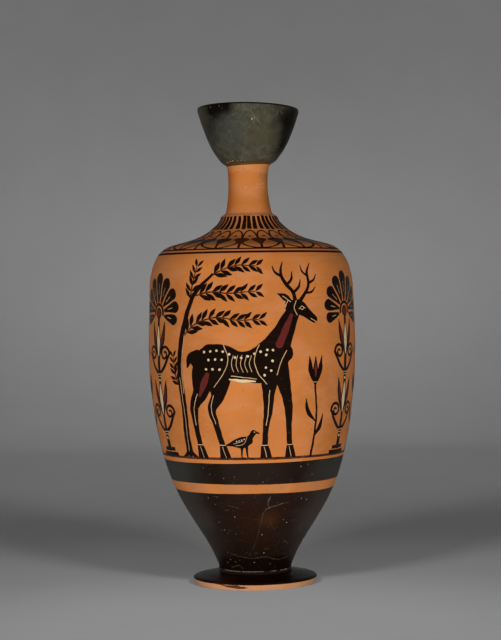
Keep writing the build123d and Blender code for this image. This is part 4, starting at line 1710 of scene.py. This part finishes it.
class PaintBands(bpy.types.Operator):
    """Paints the bands and lines round the body, with their chips and cracks"""

    bl_idname = "lekythos.paint_bands"
    bl_label = "Bands"

    SEED = 41
    CHIP_SIZES = (0.1, 0.4)
    WALL_SEED = 3
    WALL_START = 0.12
    WALL_ROUGHNESS = 0.1
    WALL_MARGINS = (2, 1)
    WALL_CHIPS = 110
    WALL_CRACKS = (
        (1.5, (9.4, 59), (7.8, 54.6), (8.4, 52)),
        (0.8, (8.4, 52), (6, 50), (4.6, 47), (3.8, 43)),
        (0.4, (3.8, 43), (1.5, 33.9), (-0.6, 27), (-3.8, 20)),
        (0.9, (20, 54.6), (15.9, 53.8), (12, 52.6), (8, 51.6)),
        (0.3, (15.3, 31.5), (13.6, 27), (11.3, 21.3)),
        (0.35, (-16.2, 53), (-12, 52.4), (-7.9, 50.6)),
        (0.3, (8.7, 43.5), (10, 40), (12.2, 36.3)),
        (0.4, (-15.6, 21.1), (-10, 19.7), (-2.9, 18.3), (7, 19), (13.3, 16.9), (21.5, 18.4)),
        (0.4, (-15, 11.6), (-9, 12.6), (-7.6, 11.4)),
    )
    WALL_FLAWS = (
        (-12.2, 46, 0.55),
        (4.2, 34, 0.6),
        (-22, 42, 0.4),
        (17.2, 43.4, 0.4),
        (19, 41.4, 0.5),
        (-28.2, 57.8, 0.5),
        (-22.8, 58.6, 0.4),
        (28.2, 56.6, 0.5),
        (31.4, 55.4, 0.5),
        (-15.4, 17, 0.4),
        (-0.6, 15.6, 0.4),
        (-17.2, 14.9, 0.4),
    )
    BAND_SEED = 7
    BAND_ROUGHNESS = 0.16
    BAND_TILT = 0.5
    BAND_MARGIN = 0.4
    BAND_CHIPS = 80
    BAND_FLAWS = (
        (28.4, 77, 0.5),
        (32.9, 78, 0.4),
        (-18.7, 70.7, 0.45),
        (35.1, 71.5, 0.4),
        (-31, 76.9, 0.35),
    )

    def execute(self, context):
        sizes = context.scene.lekythos_sizes
        skin = body_skin()
        luck = random.Random(self.SEED)
        wall = Drawing()
        top = skin.at_height(sizes.lower_gloss_top)
        wall.add("gloss", band(skin, self.WALL_START, top, self.WALL_ROUGHNESS, self.WALL_SEED))
        wall.add("worn", *(crack(skin, luck, *line) for line in self.WALL_CRACKS))
        add_flakes(wall, "incised", skin, self.WALL_FLAWS, luck)
        heights = (self.WALL_MARGINS[0], top - self.WALL_MARGINS[1])
        strew(wall, CHIP_TURNS, skin, luck, self.WALL_CHIPS, heights, self.CHIP_SIZES)
        black = Drawing()
        bottom, top = skin.at_height(sizes.band_bottom), skin.at_height(sizes.band_top)
        black.add("gloss", band(skin, bottom, top, self.BAND_ROUGHNESS, self.BAND_SEED, self.BAND_TILT))
        add_flakes(black, "incised", skin, self.BAND_FLAWS, luck)
        heights = (bottom + self.BAND_MARGIN, top - self.BAND_MARGIN)
        strew(black, CHIP_TURNS, skin, luck, self.BAND_CHIPS, heights, self.CHIP_SIZES)
        layers = (
            ("gloss", sizes.gloss_thickness, "body_bands", "band_gloss", "black_gloss"),
            ("incised", sizes.line_thickness, "band_chips", "pale_chips", "reserved_clay"),
            ("worn", sizes.line_thickness, "band_cracks", "worn_gloss", "black_gloss"),
        )
        paint(skin, layers, [(wall, 2.4), (black, 2.4)])
        lines = (
            (sizes.ground_line, 1.6, 0.12, 13),
            (sizes.band_bottom, 0.7, 0.2, 43),
            (sizes.lower_gloss_top, 0.7, 0.2, 47),
        )
        self.paint_lines(skin, sizes, lines, "body_lines", "dilute_gloss")
        lines = ((sizes.shoulder_line, 1.7, 0.07, 17), (sizes.shoulder_thin_line, 1.3, 0.07, 19))
        self.paint_lines(skin, sizes, lines, "shoulder_edge_lines", "chain_gloss")
        return {"FINISHED"}

    @staticmethod
    def paint_lines(skin, sizes, lines, piece, look):
        """Paints lines round the pot, each given by its height, width, roughness and seed."""
        drawings = []
        for height, width, roughness, seed in lines:
            line = Drawing()
            s = skin.at_height(height)
            line.add("dilute", band(skin, s - width / 2, s + width / 2, roughness, seed))
            drawings.append((line, 1.2))
        paint(skin, [("dilute", sizes.line_thickness, piece, look, "black_gloss")], drawings)


class PaintShoulder(bpy.types.Operator):
    """Paints tongues and hanging buds on the shoulder"""

    bl_idname = "lekythos.paint_shoulder"
    bl_label = "Shoulder ornament"

    def execute(self, context):
        sizes = context.scene.lekythos_sizes
        body = body_skin()
        skin = Skin(np.column_stack((body.radius, body.height)), SHOULDER_REACH)
        layers = (
            ("gloss", sizes.gloss_thickness, "shoulder_gloss", "shoulder_gloss", "black_gloss"),
            ("dilute", sizes.line_thickness, "shoulder_lines", "chain_gloss", "black_gloss"),
        )
        drawings = ((tongue_ring(skin, sizes), 1.3), (bud_chain(skin, sizes), 1.5))
        paint(skin, layers, drawings, step=1.0, wander=sizes.hand_wander)
        return {"FINISHED"}


class PaintFrieze(bpy.types.Operator):
    """Paints the animal frieze round the belly"""

    bl_idname = "lekythos.paint_frieze"
    bl_label = "Frieze"

    GRID = 2.2

    def execute(self, context):
        sizes = context.scene.lekythos_sizes
        skin = body_skin()
        motifs = frieze_drawings(2 * skin.half, skin.at_height(sizes.ground_line))
        layers = (
            ("gloss", sizes.gloss_thickness, "frieze_gloss", "figure_gloss", "black_gloss"),
            ("incised", sizes.line_thickness, "frieze_incisions", "incised_clay", "reserved_clay"),
            ("dilute", sizes.line_thickness, "frieze_stems", "dilute_gloss", "black_gloss"),
            ("cream", sizes.added_thickness, "frieze_cream", "added_cream", "added_white"),
            ("red", sizes.added_thickness, "frieze_red", "dark_red", "added_red"),
        )
        paint(skin, layers, [(motif, self.GRID) for motif in motifs], wander=sizes.hand_wander)
        return {"FINISHED"}


class SetStage(bpy.types.Operator):
    """Sets up the paper sweep, the lamps, the sky and the camera"""

    bl_idname = "lekythos.set_stage"
    bl_label = "Stage"

    # Places and sizes are in metres.
    LEFT_LAMP = (-0.68, -1.4, 0.05)
    RIGHT_LAMP = (0.68, -1.4, 0.05)
    TOP_LAMP = (0, -0.1, 1.35)
    FLOOR_LAMPS = (("floor_left", (-0.75, -1.3, 1.0)), ("floor_right", (0.75, -1.3, 1.0)))
    BACK_LAMP = (0.0, 1.4, 0.2)
    SOFT_SIZE = 0.6
    TOP_SIZE = 0.9
    FLOOR_SIZE = 0.36
    FLOOR_AIM = (0, 0.1, 0)
    FLOOR_BEAM = math.radians(50)
    CAMERA_SHIFT = -0.0003
    FLOOR_RADIUS = 1.0
    PAPER_BEND = 0.6
    PAPER_TOP = 2.4
    PAPER_BEND_POINTS = 25
    PAPER_SEGMENTS = 128

    def execute(self, context):
        stage = context.scene.lekythos_stage
        paper = self.sweep()
        aim = Vector((0, 0, 0.5 * (CAD_LOW.z + CAD_HIGH.z)))
        no_paper = self.flag("without_paper", paper, "EXCLUDE")
        paper_only = self.flag("paper_only", paper, "INCLUDE")
        self.lamp("left", self.LEFT_LAMP, aim, self.SOFT_SIZE, stage.left_power, None, no_paper)
        self.lamp("right", self.RIGHT_LAMP, aim, self.SOFT_SIZE, stage.right_power, None, no_paper)
        self.lamp("top", self.TOP_LAMP, aim, self.TOP_SIZE, stage.top_power, paper_only, paper_only)
        spot = Vector(self.FLOOR_AIM)
        for name, place in self.FLOOR_LAMPS:
            beam = self.lamp(name, place, spot, self.FLOOR_SIZE, stage.floor_power, paper_only, no_paper)
            beam.data.spread = self.FLOOR_BEAM
        self.lamp("back", self.BACK_LAMP, aim, self.SOFT_SIZE, stage.back_power, no_paper, no_paper)
        world = bpy.data.worlds.new("studio_sky")
        world.use_nodes = True
        sky = world.node_tree.nodes["Background"]
        sky.inputs["Color"].default_value = (1, 1, 1, 1)
        sky.inputs["Strength"].default_value = stage.sky
        context.scene.world = world
        camera = bpy.data.objects.new("camera", bpy.data.cameras.new("camera"))
        context.scene.collection.objects.link(camera)
        camera.data.lens = stage.lens
        camera.location = (self.CAMERA_SHIFT, -stage.eye_distance, stage.eye_height)
        camera.rotation_euler = (math.pi / 2 - stage.pitch, 0, 0)
        camera.rotation_euler.rotate_axis("Z", stage.roll)
        context.scene.camera = camera
        context.scene.view_settings.view_transform = "Standard"
        return {"FINISHED"}

    def sweep(self):
        """Floor and backdrop in one round sheet, so that every side has the same seamless backdrop."""
        floor, bend = self.FLOOR_RADIUS, self.PAPER_BEND
        turn = np.linspace(0, math.pi / 2, self.PAPER_BEND_POINTS)
        curve = zip(floor + bend * np.sin(turn), bend - bend * np.cos(turn))
        line = [(0.0, 0.0), *curve, (floor + bend, self.PAPER_TOP)]
        vertices, faces = turned_mesh(line, False, self.PAPER_SEGMENTS)
        mesh = bpy.data.meshes.new("paper_sweep")
        mesh.from_pydata(vertices.tolist(), [], faces)
        mesh.shade_smooth()
        mesh.materials.append(finish("studio_paper"))
        sweep = bpy.data.objects.new("paper_sweep", mesh)
        bpy.context.scene.collection.objects.link(sweep)
        return sweep

    @staticmethod
    def flag(name, paper, state):
        """A flag for a lamp: it stands for the paper alone, or for all but the paper."""
        flag = bpy.data.collections.new(name)
        flag.objects.link(paper)
        flag.collection_objects[0].light_linking.link_state = state
        return flag

    @staticmethod
    def lamp(name, place, aim, size, power, lit, blockers):
        """A square soft lamp that faces its aim, with flags for what is lit and what blocks it."""
        light = bpy.data.lights.new(name, "AREA")
        light.size = size
        light.energy = power
        lamp = bpy.data.objects.new(name, light)
        lamp.location = place
        lamp.rotation_euler = (aim - Vector(place)).to_track_quat("-Z", "Y").to_euler()
        lamp.visible_camera = False
        lamp.visible_glossy = False
        lamp.light_linking.receiver_collection = lit
        lamp.light_linking.blocker_collection = blockers
        bpy.context.scene.collection.objects.link(lamp)
        return lamp


OPERATORS = (
    ThrowFoot,
    ThrowBody,
    ThrowNeck,
    ThrowMouth,
    PullHandle,
    LuteJoints,
    PaintBands,
    PaintShoulder,
    PaintFrieze,
    SetStage,
)


class LekythosPanel(bpy.types.Panel):
    """Lists the steps that build the pot"""

    bl_idname = "VIEW3D_PT_lekythos"
    bl_label = "Lekythos"
    bl_space_type = "VIEW_3D"
    bl_region_type = "UI"
    bl_category = "Lekythos"

    def draw(self, context):
        scene = context.scene
        for group in (scene.lekythos_sizes, scene.lekythos_colours, scene.lekythos_stage):
            box = self.layout.box()
            for name in group.bl_rna.properties.keys():
                if name not in ("name", "rna_type"):
                    box.prop(group, name)
        for operator in OPERATORS:
            self.layout.operator(operator.bl_idname)


CLASSES = (LekythosSizes, LekythosColours, LekythosStage, *OPERATORS, LekythosPanel)


def register():
    for cls in CLASSES:
        bpy.utils.register_class(cls)
    bpy.types.Scene.lekythos_sizes = PointerProperty(type=LekythosSizes)
    bpy.types.Scene.lekythos_colours = PointerProperty(type=LekythosColours)
    bpy.types.Scene.lekythos_stage = PointerProperty(type=LekythosStage)


def unregister():
    del bpy.types.Scene.lekythos_sizes
    del bpy.types.Scene.lekythos_colours
    del bpy.types.Scene.lekythos_stage
    for cls in reversed(CLASSES):
        bpy.utils.unregister_class(cls)


def main():
    """Builds the whole pot in order."""
    register()
    steps = bpy.ops.lekythos
    steps.throw_foot()
    steps.throw_body()
    steps.throw_neck()
    steps.throw_mouth()
    steps.pull_handle()
    steps.lute_joints()
    steps.paint_bands()
    steps.paint_shoulder()
    steps.paint_frieze()
    steps.set_stage()


if __name__ == "__main__":
    main()
